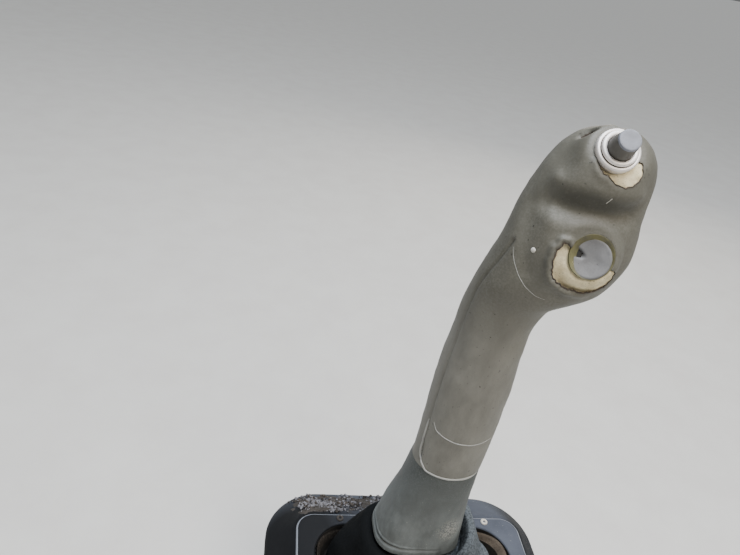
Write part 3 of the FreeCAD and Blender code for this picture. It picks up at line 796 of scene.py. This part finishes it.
def grip_surface(columns, heights, inset=0.0):
    """The grip's form with its swellings, lines and unevenness, before the tears."""
    points = rings(GRIP_ROWS, heights, columns, inset)
    outward = normals_of(points)
    height = np.zeros(points.shape[:2])
    for centre, radius, rise in GRIP_SPOTS:
        away = np.linalg.norm(points - np.array(centre), axis=2)
        height += rise * np.exp(-(away / radius) ** 2)
    for line, half, rise in BROAD_LINES:
        height += rise * np.exp(-(near_line(points, line) / half) ** 2)
    if not inset:
        height += -1.1 * np.exp(-(near_line(points, REAR_CREASE) / 0.9) ** 2)
    height += lumps(points, 16.0, 0.55) + lumps(points, 5.0, 0.16, 7.0)
    foot = np.clip((points[..., 2] - GRIP_FOOT) / 1.5, 0, 1)
    points = points + outward * (height * foot)[..., None]
    # The moulding rises to a flat seat under each switch
    for which, seat, fade in SWITCH_SEATS:
        axes = switch_axes(which)
        u, v, w = seen_along(points, axes)
        apart = np.clip((seat + fade - np.hypot(u, v)) / fade, 0, 1)
        above = np.clip((w + 12) / 7, 0, 1)
        share = apart * apart * (3 - 2 * apart) * above * above * (3 - 2 * above)
        points = points - axes[3] * ((w + inset) * share)[..., None]
    return points


def add_strand(name, places, radius, material):
    """A thin smooth strand through the places on the grip, tapered at its ends."""
    curve = bpy.data.curves.new(name, "CURVE")
    curve.dimensions = "3D"
    curve.bevel_depth = radius * MM
    curve.bevel_resolution = 3
    spline = curve.splines.new("NURBS")
    spline.points.add(len(places) - 1)
    for k, (point, centre) in enumerate(zip(spline.points, places)):
        point.co = (*(centre * MM), 1.0)
        point.radius = min(1.0, 0.35 + 0.2 * min(k, len(places) - 1 - k))
    spline.order_u = 4
    spline.use_endpoint_u = True
    add_piece(name, curve, [material], "lever")


class LEVER_OT_grip(bpy.types.Operator):
    """Build the foamed grip with its torn holes, the foam in them and its worn lines"""

    bl_idname = "lever.build_grip"
    bl_label = "Build grip"

    def execute(self, context):
        grip = context.scene.lever_grip
        look = context.scene.lever_switches
        upper_tear, lower_tear = tears()
        points = grip_surface(GRIP_COLUMNS, grip_heights())
        outward = normals_of(points)
        holes = []
        for which, tear, radius, pull in (("upper", upper_tear, look.nut_radius / MM - 0.5, 0.7),
                                          ("lower", lower_tear, look.cup_radius / MM + 0.1, 1.9)):
            axes = switch_axes(which)
            u, v, w = seen_along(points, axes)
            torn = outline_distance(u, v, tear)
            field = np.where(w > -HOLE_DEPTH, np.minimum(torn, np.hypot(u, v) - radius), FAR)
            holes.append(Hole(axes, tear, radius, field))
            # The skin curls up beside each tear, more on the side that was pulled
            beside = (w > -HOLE_DEPTH) & (np.hypot(u, v) > radius - 1)
            curl = np.where(beside, np.exp(-((torn - 1.3) / 1.4) ** 2), 0)
            side = np.clip((v * 0.4 - u * 0.8) / 11.0, 0.08, 1.0)
            points = points + outward * (curl * pull * side)[..., None]
        self.add_skin(points, holes, grip.skin / MM + 0.7)
        self.add_foam(holes, grip.skin / MM)
        self.add_marks(points, outward, grip.bead / MM)
        return {"FINISHED"}

    def add_skin(self, points, holes, wall):
        """The moulded skin with its torn holes, and painted shade in the notch of its top."""
        mesh = grid_mesh("grip_moulding", points, cap_end=True)
        plain = rings(GRIP_ROWS, grip_heights(), GRIP_COLUMNS).reshape(-1, 3)
        # Painted shade: faces in the notch take the dark torn-edge colour
        dark = near_line(plain, NOTCH) < 2.0
        for face in mesh.polygons:
            if all(dark[i] for i in face.vertices):
                face.material_index = 1
        cut_holes(mesh, points, holes, wall)
        add_piece("grip_moulding", mesh, [foamed_urethane(), torn_edge_dirt_and_shade()], "lever", ("grip_skin",))

    def add_foam(self, holes, skin):
        """Foam shown in the tears, a skin's thickness under the surface and swollen toward the front."""
        foam = grip_surface(FOAM_COLUMNS, np.arange(250.0, 326.5, 0.7), skin)
        foam = foam + normals_of(foam) * (lumps(foam, 1.6, 0.25, 3.0) + lumps(foam, 5.0, 0.3, 9.0))[..., None]
        keep = np.full(foam.shape[:2], FAR)
        swell = np.zeros(foam.shape[:2])
        for hole in holes:
            u, v, w = seen_along(foam, hole.axes)
            near = np.where(w > -FOAM_DEPTH, outline_distance(u, v, hole.tear), FAR)
            near = np.where(np.hypot(u, v) < hole.radius - 1.2, FAR, near)
            keep = np.minimum(keep, near)
            swell += np.clip((u - 2.0) / 7.0, 0, 1) * np.clip((0.6 - near) / 1.0, 0, 1) * 0.7
        foam = foam + normals_of(foam) * swell[..., None]
        mesh = grid_mesh("foam_under_skin", foam)
        body = bmesh.new()
        body.from_mesh(mesh)
        flat = keep.ravel()
        gone = [face for face in body.faces if min(flat[vert.index] for vert in face.verts) > 2.0]
        bmesh.ops.delete(body, geom=gone, context="FACES")
        body.to_mesh(mesh)
        body.free()
        add_piece("foam_under_skin", mesh, [torn_foam()], "lever", ("foam_core",))

    def add_marks(self, points, outward, bead):
        """The worn bead at the grip's foot and the mould's flash lines, paler partly as painted highlight,
        dark rims of painted shadow along the tears, and two flecks of paint.
        """
        flat, normals = points.reshape(-1, 3), outward.reshape(-1, 3)

        def seated(centre, rise):
            """The place on the skin beside a point, and the skin's normal there."""
            nearest = np.argmin(np.linalg.norm(flat - centre, axis=1))
            normal = normals[nearest]
            return centre + normal * ((flat[nearest] - centre) @ normal + rise), normal

        rims = []
        for which, tear, (first, last) in zip(("upper", "lower"), tears(), RIM_SPANS):
            centre, right, down, out = axes = switch_axes(which)
            across, along, above = seen_along(flat, axes)
            buried = np.where(above > -FOAM_DEPTH, 0, 99)
            rims.append([])
            for u, v in tear[first:last]:
                nearest = np.argmin(np.hypot(across - u, along - v) + buried)
                rims[-1].append(tuple(centre + right * u + down * v + out * above[nearest]))
        foot = rings(GRIP_ROWS, [GRIP_FOOT], 360)[0]
        arc = [tuple(foot[turn % 360]) for turn in range(*BEAD_ARC, -6)]
        worn, paint = urethane_edge_wear_and_highlight(), paint_fleck()
        for name, line, radius, rise, material in (
                # The bead and the flash lines are paler: wear and a painted highlight
                ("grip_bead", arc + list(BEAD_END), bead, 0.0, worn),
                ("front_flash", FRONT_FLASH, 0.32, 0.0, worn),
                ("head_flash", HEAD_FLASH, 0.11, 0.0, worn),
                # Dark strands of painted shadow between the curled lips and the foam
                ("upper_torn_rim", rims[0], 0.28, -0.05, torn_edge_dirt_and_shade()),
                ("lower_torn_rim", rims[1], 0.42, -0.05, torn_edge_dirt_and_shade()),
                ("paint_nick", NICK, 0.35, 0.0, paint)):
            places = []
            for a, b in zip(line, line[1:]):
                a, b = np.array(a, dtype=float), np.array(b, dtype=float)
                steps = max(1, round(float(np.linalg.norm(b - a)) / STRAND_STEP))
                places += [seated(a + (b - a) * k / steps, rise)[0] for k in range(steps)]
            places.append(seated(np.array(line[-1], dtype=float), rise)[0])
            add_strand(name, places, radius, material)
        profile = [(1.2, -0.3), (1.15, 0.05), (0.9, 0.25), (0.5, 0.35), (0.02, 0.35)]
        chip = lathe(profile, *seat_axes(*seated(np.array(PAINT_CHIP), 0.0)), 24)
        add_piece("paint_chip", grid_mesh("paint_chip", chip), [paint], "lever")


class LEVER_OT_switches(bpy.types.Operator):
    """Build the plated ring nut, the push button, the pressed cap and its cup"""

    bl_idname = "lever.build_switches"
    bl_label = "Build switches"

    def execute(self, context):
        look = context.scene.lever_switches
        axes = switch_axes("upper")
        self.add_nut(axes, look.nut_radius / MM)
        self.add_button(axes, look)
        self.add_cap(switch_axes("lower"), look)
        return {"FINISHED"}

    def add_nut(self, axes, nut):
        """Stepped ring nut with painted shade in the groove at its step."""
        columns, groove_rows = 128, (6, 7)
        step = nut - 1.6
        profile = [(5.75, -1.5), (5.75, 3.5), (6.0, 4.05), (6.6, 4.2), (step - 0.35, 4.15),
                   (step - 0.08, 3.9), (step, 3.0), (step + 0.03, 2.35), (step + 0.18, 2.35),
                   (step + 0.24, 2.55), (step + 0.35, 2.6), (nut - 0.5, 2.6), (nut - 0.15, 2.35), (nut, 1.9),
                   (nut, 0.2), (nut - 0.1, -1.2)]
        mesh = grid_mesh("ring_nut", lathe(profile, *axes, columns))
        add_piece("ring_nut", mesh, [plated_zinc(), torn_edge_dirt_and_shade()], "lever", ("switch_nut",))
        # Painted shade: the groove's rows take the dark torn-edge colour
        for face in mesh.polygons:
            face.material_index = int(face.index // columns in groove_rows)

    def add_button(self, axes, look):
        """Tapered barrel of the push button and its worn tip."""
        tip = look.button_height / MM
        side = [(5.6, -0.4), (5.6, 4.2), (5.55, 5.4), (5.4, 6.6), (5.2, 7.8), (4.95, tip - 2.4),
                (4.75, tip - 1.2)]
        barrel = lathe(side, *axes, 80)
        barrel = barrel + lumps(barrel, 3.0, 0.12)[..., None] * axes[3]
        add_piece("push_button", grid_mesh("push_button", barrel),
                  [button_rubber("button_barrel", look.barrel_colour)], "button", ("plunger",))
        face = [(4.76, tip - 1.25), (4.72, tip - 0.6), (4.62, tip - 0.2), (4.4, tip - 0.02), (3.8, tip),
                (2.8, tip - 0.05), (2.0, tip - 0.1), (1.0, tip - 0.15), (0.02, tip - 0.15)]
        points = lathe(face, *axes, 80)
        points = points + lumps(points, 3.5, 0.18, 2.0)[..., None] * axes[3]
        add_piece("button_tip", grid_mesh("button_tip", points),
                  [button_rubber("button_tip", look.tip_colour)], "button")

    def add_cap(self, axes, look):
        """Cup of the lower switch and the rubber cap that has slid down in it."""
        centre, right, down, out = axes
        rim = look.cup_radius / MM
        cup = [(rim + 0.15, -3.5), (rim + 0.15, -0.1), (rim, 0.1), (rim - 0.2, 0.0), (rim - 1.0, -0.6),
               (rim - 2.2, -1.3), (rim - 4.0, -2.6)]
        add_piece("cap_cup", grid_mesh("cap_cup", lathe(cup, *axes)), [greasy_phenolic()], "lever")

        # The cap leans and sits low in its cup, and a pit is worn through its upper left
        lean = math.radians(9)
        turn = np.array(Matrix.Rotation(-lean, 3, Vector(right * 0.62 + down * -0.78)))
        cap = look.cap_radius / MM
        profile = [(cap - 0.2, -3.2), (cap, -2.2), (cap - 0.05, -1.4), (cap - 0.35, -0.95), (cap - 0.9, -0.8)]
        profile += [(cap - 0.9 - (cap - 0.95) * k / 16, -0.8 - 0.9 * math.sin(math.pi / 2 * k / 16))
                    for k in range(1, 17)]
        points = lathe(profile, np.zeros(3), right, down, out)
        u, v = points @ right, points @ down
        along = (u + 6.0) * 0.9 + (v + 1.6) * 0.44
        across = (v + 1.6) * 0.9 - (u + 6.0) * 0.44
        pit = np.exp(-((along / 3.2) ** 2 + (across / 1.7) ** 2) ** 2)
        points = points - out * (2.0 * pit + lumps(points, 4.0, 0.15))[..., None]
        points = points @ turn.T + centre + out * 0.2 - right * 0.3 + down * 0.6
        mesh = grid_mesh("pressed_cap", points)
        add_piece("pressed_cap", mesh, [button_rubber("cap_rubber", look.cap_colour), pit_grease_and_shade()], "lever",
                  ("lower_cap",))
        deep = pit.ravel() > 0.4
        for face in mesh.polygons:
            if sum(deep[i] for i in face.vertices) >= 3:
                face.material_index = 1


class LEVER_OT_skirt(bpy.types.Operator):
    """Build the flared rubber skirt with its double lip"""

    bl_idname = "lever.build_skirt"
    bl_label = "Build skirt"

    def execute(self, context):
        wall = context.scene.lever_grip.skirt_wall / MM
        heights = np.concatenate([np.arange(60.0, 70.0, 0.4), np.arange(70.0, GRIP_FOOT + 0.01, 0.95)])
        outer = rings(SKIRT_ROWS, heights, SKIRT_COLUMNS)
        z = outer[..., 2]
        height = lumps(outer, 14.0, 0.5, 5.0) + lumps(outer, 4.0, 0.12, 1.0)
        # The moulded flange shows as a second lip at the rear and fades out toward the front
        turns = turns_of(SKIRT_COLUMNS)[None, :]
        rear = np.clip(0.35 - np.cos(turns), 0, 1)
        height += rear * (0.5 * np.exp(-((z - 66.4) / 0.8) ** 2) - 0.9 * np.exp(-((z - 64.8) / 0.6) ** 2))
        height += 0.7 * rear * np.clip((64.2 - z) / 1.2, 0, 1)
        inboard = np.clip(np.cos(turns) - np.sin(turns) + 0.4, 0, 1)
        height += -0.5 * np.exp(-((z - 125.7) / 0.8) ** 2) * inboard
        outer = outer + normals_of(outer) * height[..., None]
        rim = outer[0]
        away = rim - rim.mean(axis=0)
        away[:, 2] = 0
        away /= np.linalg.norm(away, axis=1, keepdims=True)
        lip = [rim - away * (wall * s) + np.array([0, 0, -0.5 * math.sin(math.pi * s)])
               for s in (0.85, 0.6, 0.35, 0.15)]
        inside = [rings(SKIRT_ROWS, [h], SKIRT_COLUMNS, wall)[0] for h in np.linspace(98.0, 61.0, 24)]
        points = np.concatenate([np.array(inside), np.array(lip), outer])
        add_piece("skirt", grid_mesh("skirt", points), [moulded_rubber()], "lever", ("cuff",))
        return {"FINISHED"}


class LEVER_OT_boot(bpy.types.Operator):
    """Build the rubber boot between the cover and the lever"""

    bl_idname = "lever.build_boot"
    bl_label = "Build boot"

    def execute(self, context):
        look = context.scene.lever_cover
        table = [(station, *row) for station, row in enumerate(BOOT_ROWS)]
        sizes = smooth_table(table, np.linspace(0, len(table) - 1, 170))
        rear, rear_z, front, front_z, half, side_z, square = (sizes[:, k:k + 1] for k in range(7))
        turns = turns_of(BOOT_COLUMNS)[None, :]
        cos = np.cos(turns)
        x = squared(cos, square) * np.where(cos > 0, front, rear)
        y = squared(np.sin(turns), square) * half
        z = side_z + (front_z - side_z) * np.clip(cos, 0, 1) + (rear_z - side_z) * np.clip(-cos, 0, 1) ** 1.3
        points = np.stack([x, y, z], axis=2)[::-1]
        z = points[..., 2]
        loose = np.clip((74 - z) / 12, 0, 1) * np.clip((z - 26) / 10, 0, 1)
        creased = loose * np.clip((60 - z) / 10, 0.15, 1)
        ahead = np.clip(cos, 0, 1)
        height = lumps(points, 15.0, 2.0, 4.0) * creased
        height = height + lumps(points, 2.4, 0.55, 8.0) * loose * (0.25 + ahead)
        height += 0.7 * creased * ahead * np.sin(points[..., 1] / 3.4 + z / 7.0)
        points = points + normals_of(points) * height[..., None]
        mesh = grid_mesh("boot", points)
        boot = add_piece("boot", mesh, [neoprene_boot(), dusty_boot_foot(), pit_grease_and_shade()], None, ("gaiter",))
        # Brown dust lies on the lip, and the valley behind it is painted black as shade
        for face in mesh.polygons:
            row = face.index // BOOT_COLUMNS
            if row < VALLEY_ROWS and face.center.z < look.valley_line:
                face.material_index = 2
            elif row < LIP_ROWS:
                face.material_index = 1
        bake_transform(boot)
        return {"FINISHED"}


def partway(first, second, share):
    """Sizes that lie a share of the way from the first to the second."""
    return tuple(a + share * (b - a) for a, b in zip(first, second))


def rounded_ring(half_x, half_y, corner, z, corner_steps=14, side_steps=24):
    """Points round a rectangle with round corners, its sides in short steps for the unevenness."""
    arcs = []
    for quarter, (sx, sy) in enumerate(((1, 1), (-1, 1), (-1, -1), (1, -1))):
        turns = [math.radians(90 * (quarter + step / corner_steps)) for step in range(corner_steps + 1)]
        arcs.append([(sx * (half_x - corner) + corner * math.cos(turn),
                      sy * (half_y - corner) + corner * math.sin(turn), z) for turn in turns])
    points = []
    for arc, following in zip(arcs, arcs[1:] + arcs[:1]):
        a, b = np.array(arc[-1]), np.array(following[0])
        points += arc + [tuple(a + (b - a) * k / side_steps) for k in range(1, side_steps)]
    return np.array(points)


def slope_at(base, top, along, share):
    """Place on the cover's outboard slope, from its rear corner to the lever and up a share of its height."""
    half_x, half_y, corner = partway(base, COVER_LAND, share)
    rear = corner - half_x - 0.7 * corner
    x = rear + along * (12.0 - rear)
    past = np.clip(corner - half_x - x, 0, corner)
    y = half_y - corner + np.sqrt(corner ** 2 - past ** 2)
    return np.stack([x, y, COVER_FOOT + share * (top - COVER_FOOT)], axis=-1)


class LEVER_OT_cover(bpy.types.Operator):
    """Build the console cover, its screws and washers and the mud on it"""

    bl_idname = "lever.build_cover"
    bl_label = "Build cover"

    def execute(self, context):
        look = context.scene.lever_cover
        r, drop = look.edge_round / MM, look.collar_drop / MM
        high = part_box("cover")[1]
        base, top = (high.x / MM, high.y / MM, COVER_CORNER), high.z / MM
        quarters = [math.radians(22.5 * k) for k in range(5)]
        rows = [(base, 0.0, z) for z in (0.0, 2.0, 3.6)]
        rows += [(partway(base, COVER_LAND, k / 13), 0.0, COVER_FOOT + k / 13 * (top - COVER_FOOT))
                 for k in range(1, 13)]
        edge_row = len(rows)
        for k, turn in enumerate(quarters):
            grow = -r * (1 - math.cos(turn)) * 1.1 + 0.35 * (4 - k) / 4
            rows.append((COVER_LAND, grow, top - r + r * math.sin(turn)))
        lip = tuple(size + LIP_ROUND for size in COVER_OPENING)
        rows += [(partway(COVER_LAND, lip, k / 6), -r * (1 - k / 6), top) for k in range(1, 6)]
        rows += [(COVER_OPENING, LIP_ROUND * (1 - math.sin(turn)), top - LIP_ROUND * (1 - math.cos(turn)))
                 for turn in quarters]
        collar_row = len(rows) - 1
        rows += [(COVER_OPENING, 0.0, top - LIP_ROUND - (drop - LIP_ROUND) * k / 6) for k in range(1, 7)]
        rows += [(COVER_OPENING, 2.0, top - drop - 0.2), (COVER_OPENING, 2.0, top - 3.0)]
        points = np.array([rounded_ring(half_x + grow, half_y + grow, max(corner + grow, 0.5), z)
                           for (half_x, half_y, corner), grow, z in rows])
        points[..., 2] += lumps(points, 40.0, 0.35) * (points[..., 2] > 10)
        mesh = grid_mesh("console_cover", points)
        add_piece("console_cover", mesh, [moulded_abs(), painted_shade_abs(), abs_edge_wear_and_highlight()], "base", ("cover",))
        for face in mesh.polygons:
            row = face.index // points.shape[1]
            # Painted shade: the collar down inside the opening is near black
            if row >= collar_row:
                face.material_index = 1
            # The rounded outer edge is paler: wear and a painted highlight
            elif edge_row <= row < edge_row + 3:
                face.material_index = 2
        self.add_fixings(top)
        self.add_crust(base, top)
        self.add_flakes(base, top)
        return {"FINISHED"}

    def add_fixings(self, top):
        """Washers and sunk screws at the four corners of the opening, the rear ones caked with soil."""
        soil = packed_soil()
        low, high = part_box("cover_screws")
        seats = [(x, y) for x in (low.x / MM + SCREW_HEAD, high.x / MM - SCREW_HEAD)
                 for y in (low.y / MM + SCREW_HEAD, high.y / MM - SCREW_HEAD)]
        washer = [(0.95, -0.4), (1.0, 0.75), (1.3, 0.95), (2.1, 0.9), (2.45, 0.6), (2.55, 0.0)]
        screw = [(0.93, -1.0), (0.93, -0.3), (0.8, -0.2), (0.5, -0.2), (0.4, -0.6), (0.02, -0.65)]
        for name, profile, material, node, slot in (
                ("nylon_washers", washer, white_nylon(), "cover_washers", "washer_plastic"),
                ("sunk_screws", screw, pit_grease_and_shade(), "cover_screws", "zinc_steel")):
            body = bmesh.new()
            for x, y in seats:
                piece = grid_mesh(name, lathe(profile, np.array([x, y, top]), *np.eye(3), 32))
                body.from_mesh(piece)
                bpy.data.meshes.remove(piece)
            mesh = bpy.data.meshes.new(name)
            body.to_mesh(mesh)
            body.free()
            add_piece(name, mesh, [material, soil], "base", (node,))
            for face in mesh.polygons:
                face.material_index = int(face.center.x < 0)

    def add_crust(self, base, top):
        """Soil trodden on to the outboard slope and round its rear corner."""
        along, share = np.meshgrid(np.linspace(0, 1, 120), np.linspace(0.1, 0.94, 44))
        bed = slope_at(base, top, along, share)
        ends = np.minimum(np.minimum(along * 7, (1 - along) * 3), np.minimum(share - 0.1, 0.94 - share) * 9)
        fade = np.clip(ends + lumps(bed, 9.0, 0.9, 2.0) * (ends < 1.5), 0, 1)
        bed[..., 2] += (0.5 + lumps(bed, 7.0, 1.6) + lumps(bed, 2.2, 0.7, 5.0)) * fade - 0.6 * (1 - fade)
        add_piece("soil_crust", grid_mesh("soil_crust", bed, closed=False), [packed_soil()], "base")

    def add_flakes(self, base, top):
        """Clumps of dried flakes of three soils, caught on the crust."""
        random.seed(11)
        body = bmesh.new()
        for _ in range(MUD_CLUMPS):
            middle_along = random.uniform(0.05, 0.92)
            middle_share = random.uniform(0.12, 0.88)
            soil = random.choice((0, 0, 0, 1, 2))
            for _ in range(random.randint(4, 22)):
                along = min(max(random.gauss(middle_along, 0.022), 0.03), 0.95)
                share = min(max(random.gauss(middle_share, 0.08), 0.08), 0.92)
                centre = Vector(slope_at(base, top, along, share)) + Vector((0, 0, random.uniform(0.5, 1.3)))
                faces = self.add_flake(body, centre, random.choice(FLAKE_SIZES))
                own = soil if random.random() < 0.75 else random.choice((0, 1, 2))
                for face in faces:
                    face.material_index = own
        mesh = bpy.data.meshes.new("mud_flakes")
        body.to_mesh(mesh)
        body.free()
        add_piece("mud_flakes", mesh, [dried_mud(), dried_clay(), packed_soil()], "base", smooth=False)

    def add_flake(self, body, centre, size):
        """One tilted flake with uneven sides, smaller at its top. Gives its faces."""
        lean = Matrix.Rotation(random.uniform(-0.7, 0.9), 3, "X")
        tilt = lean @ Matrix.Rotation(random.uniform(0, 6.28), 3, "Z")
        corners = []
        sides = random.randint(4, 7)
        for layer, thick in ((1.0, -0.3), (0.7, size * random.uniform(0.3, 0.8))):
            for turn in turns_of(sides):
                spread = size * layer * random.uniform(0.65, 1.15)
                offset = tilt @ Vector((spread * math.cos(turn), spread * 0.8 * math.sin(turn), thick))
                corners.append(body.verts.new((centre + offset) * MM))
        faces = [body.faces.new(corners[sides:])]
        for a in range(sides):
            b = (a + 1) % sides
            faces.append(body.faces.new((corners[a], corners[b], corners[sides + b], corners[sides + a])))
        return faces


class LEVER_OT_bracket(bpy.types.Operator):
    """Finish the plate, pivot, tube, crank and switch bodies that come from the frame"""

    bl_idname = "lever.build_bracket"
    bl_label = "Finish bracket"

    def execute(self, context):
        looks = {
            stove_enamel(): ("mounting_plate", "ear_inboard", "ear_outboard", "gaiter_retainer", "pivot_hub",
                             "lever_tube", "crank_arm"),
            zinc_steel(): ("pivot_bolt", "pivot_washers", "pivot_nut", "cover_standoffs", "neck_clip"),
            natural_nylon(): ("hub_bushes",),
            black_phenolic(): ("upper_switch_body", "lower_switch_body"),
        }
        for material, names in looks.items():
            for name in names:
                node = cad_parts[name]
                node.data.materials.clear()
                node.data.materials.append(material)
                bevel = node.modifiers.new("soft_edges", "BEVEL")
                bevel.width = 0.35 * MM
                bevel.segments = 2
                bevel.limit_method = "ANGLE"
                bevel.angle_limit = math.radians(40)
        return {"FINISHED"}


class LEVER_OT_stage(bpy.types.Operator):
    """Add the floor, the soft lights and the camera at the photograph's place"""

    bl_idname = "lever.build_stage"
    bl_label = "Build stage"

    def execute(self, context):
        scene = context.scene
        data = bpy.data.cameras.new("camera")
        data.sensor_width = SENSOR_WIDTH
        data.lens = FOCAL_PIXELS / IMAGE_WIDTH * SENSOR_WIDTH
        camera = bpy.data.objects.new("camera", data)
        scene.collection.objects.link(camera)
        right, up = Vector(CAMERA_RIGHT), Vector(CAMERA_UP)
        turn = Matrix((right, up, right.cross(up))).transposed().to_4x4()
        camera.matrix_world = Matrix.Translation(Vector(CAMERA_PLACE) * MM) @ turn
        scene.camera = camera
        self.add_floor(scene)
        for lamp in LAMPS:
            self.add_lamp(scene, *lamp)
        scene.world = bpy.data.worlds.new("studio")
        scene.world.use_nodes = True
        sky = scene.world.node_tree.nodes["Background"]
        sky.inputs["Color"].default_value = linear("#dcdedf")
        sky.inputs["Strength"].default_value = 0.2
        return {"FINISHED"}

    def add_floor(self, scene):
        """Wide paper floor just below the part."""
        mesh = bpy.data.meshes.new("floor")
        corners = [(x * FLOOR_HALF, y * FLOOR_HALF, 0) for x, y in ((-1, -1), (1, -1), (1, 1), (-1, 1))]
        mesh.from_pydata(corners, [], [(0, 1, 2, 3)])
        floor = bpy.data.objects.new("floor", mesh)
        floor.location.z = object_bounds()[0][2] - FLOOR_GAP
        scene.collection.objects.link(floor)
        mesh.materials.append(studio_paper())
        floor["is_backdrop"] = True

    def add_lamp(self, scene, name, kind, centre, size, power, tint):
        """Soft lamp that looks at the lever."""
        data = bpy.data.lights.new(name, kind)
        setattr(data, "angle" if kind == "SUN" else "size", size)
        data.energy = power
        data.color = linear(tint)[:3]
        lamp = bpy.data.objects.new(name, data)
        lamp.location = centre
        lamp.rotation_euler = (Vector(LAMP_AIM) - Vector(centre)).to_track_quat("-Z", "Y").to_euler()
        scene.collection.objects.link(lamp)


OPERATORS = (LEVER_OT_grip, LEVER_OT_switches, LEVER_OT_skirt, LEVER_OT_boot, LEVER_OT_cover,
             LEVER_OT_bracket, LEVER_OT_stage)
SETTINGS = (("lever_grip", GripSettings), ("lever_switches", SwitchSettings), ("lever_cover", CoverSettings))


class LEVER_PT_panel(bpy.types.Panel):
    """Lists the steps that build the lever"""

    bl_idname = "LEVER_PT_panel"
    bl_label = "Control lever"
    bl_space_type = "VIEW_3D"
    bl_region_type = "UI"
    bl_category = "Lever"

    def draw(self, context):
        for name, group in SETTINGS:
            box = self.layout.box()
            for key in group.__annotations__:
                box.prop(getattr(context.scene, name), key)
        for step in OPERATORS:
            self.layout.operator(step.bl_idname)


def register():
    for name, group in SETTINGS:
        bpy.utils.register_class(group)
        setattr(bpy.types.Scene, name, bpy.props.PointerProperty(type=group))
    for step in OPERATORS + (LEVER_PT_panel,):
        bpy.utils.register_class(step)


def unregister():
    for step in reversed(OPERATORS + (LEVER_PT_panel,)):
        bpy.utils.unregister_class(step)
    for name, group in reversed(SETTINGS):
        delattr(bpy.types.Scene, name)
        bpy.utils.unregister_class(group)


def main():
    register()
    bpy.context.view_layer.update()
    bpy.ops.lever.build_grip()
    bpy.ops.lever.build_switches()
    bpy.ops.lever.build_skirt()
    bpy.ops.lever.build_boot()
    bpy.ops.lever.build_cover()
    bpy.ops.lever.build_bracket()
    bpy.ops.lever.build_stage()


if __name__ == "__main__":
    main()
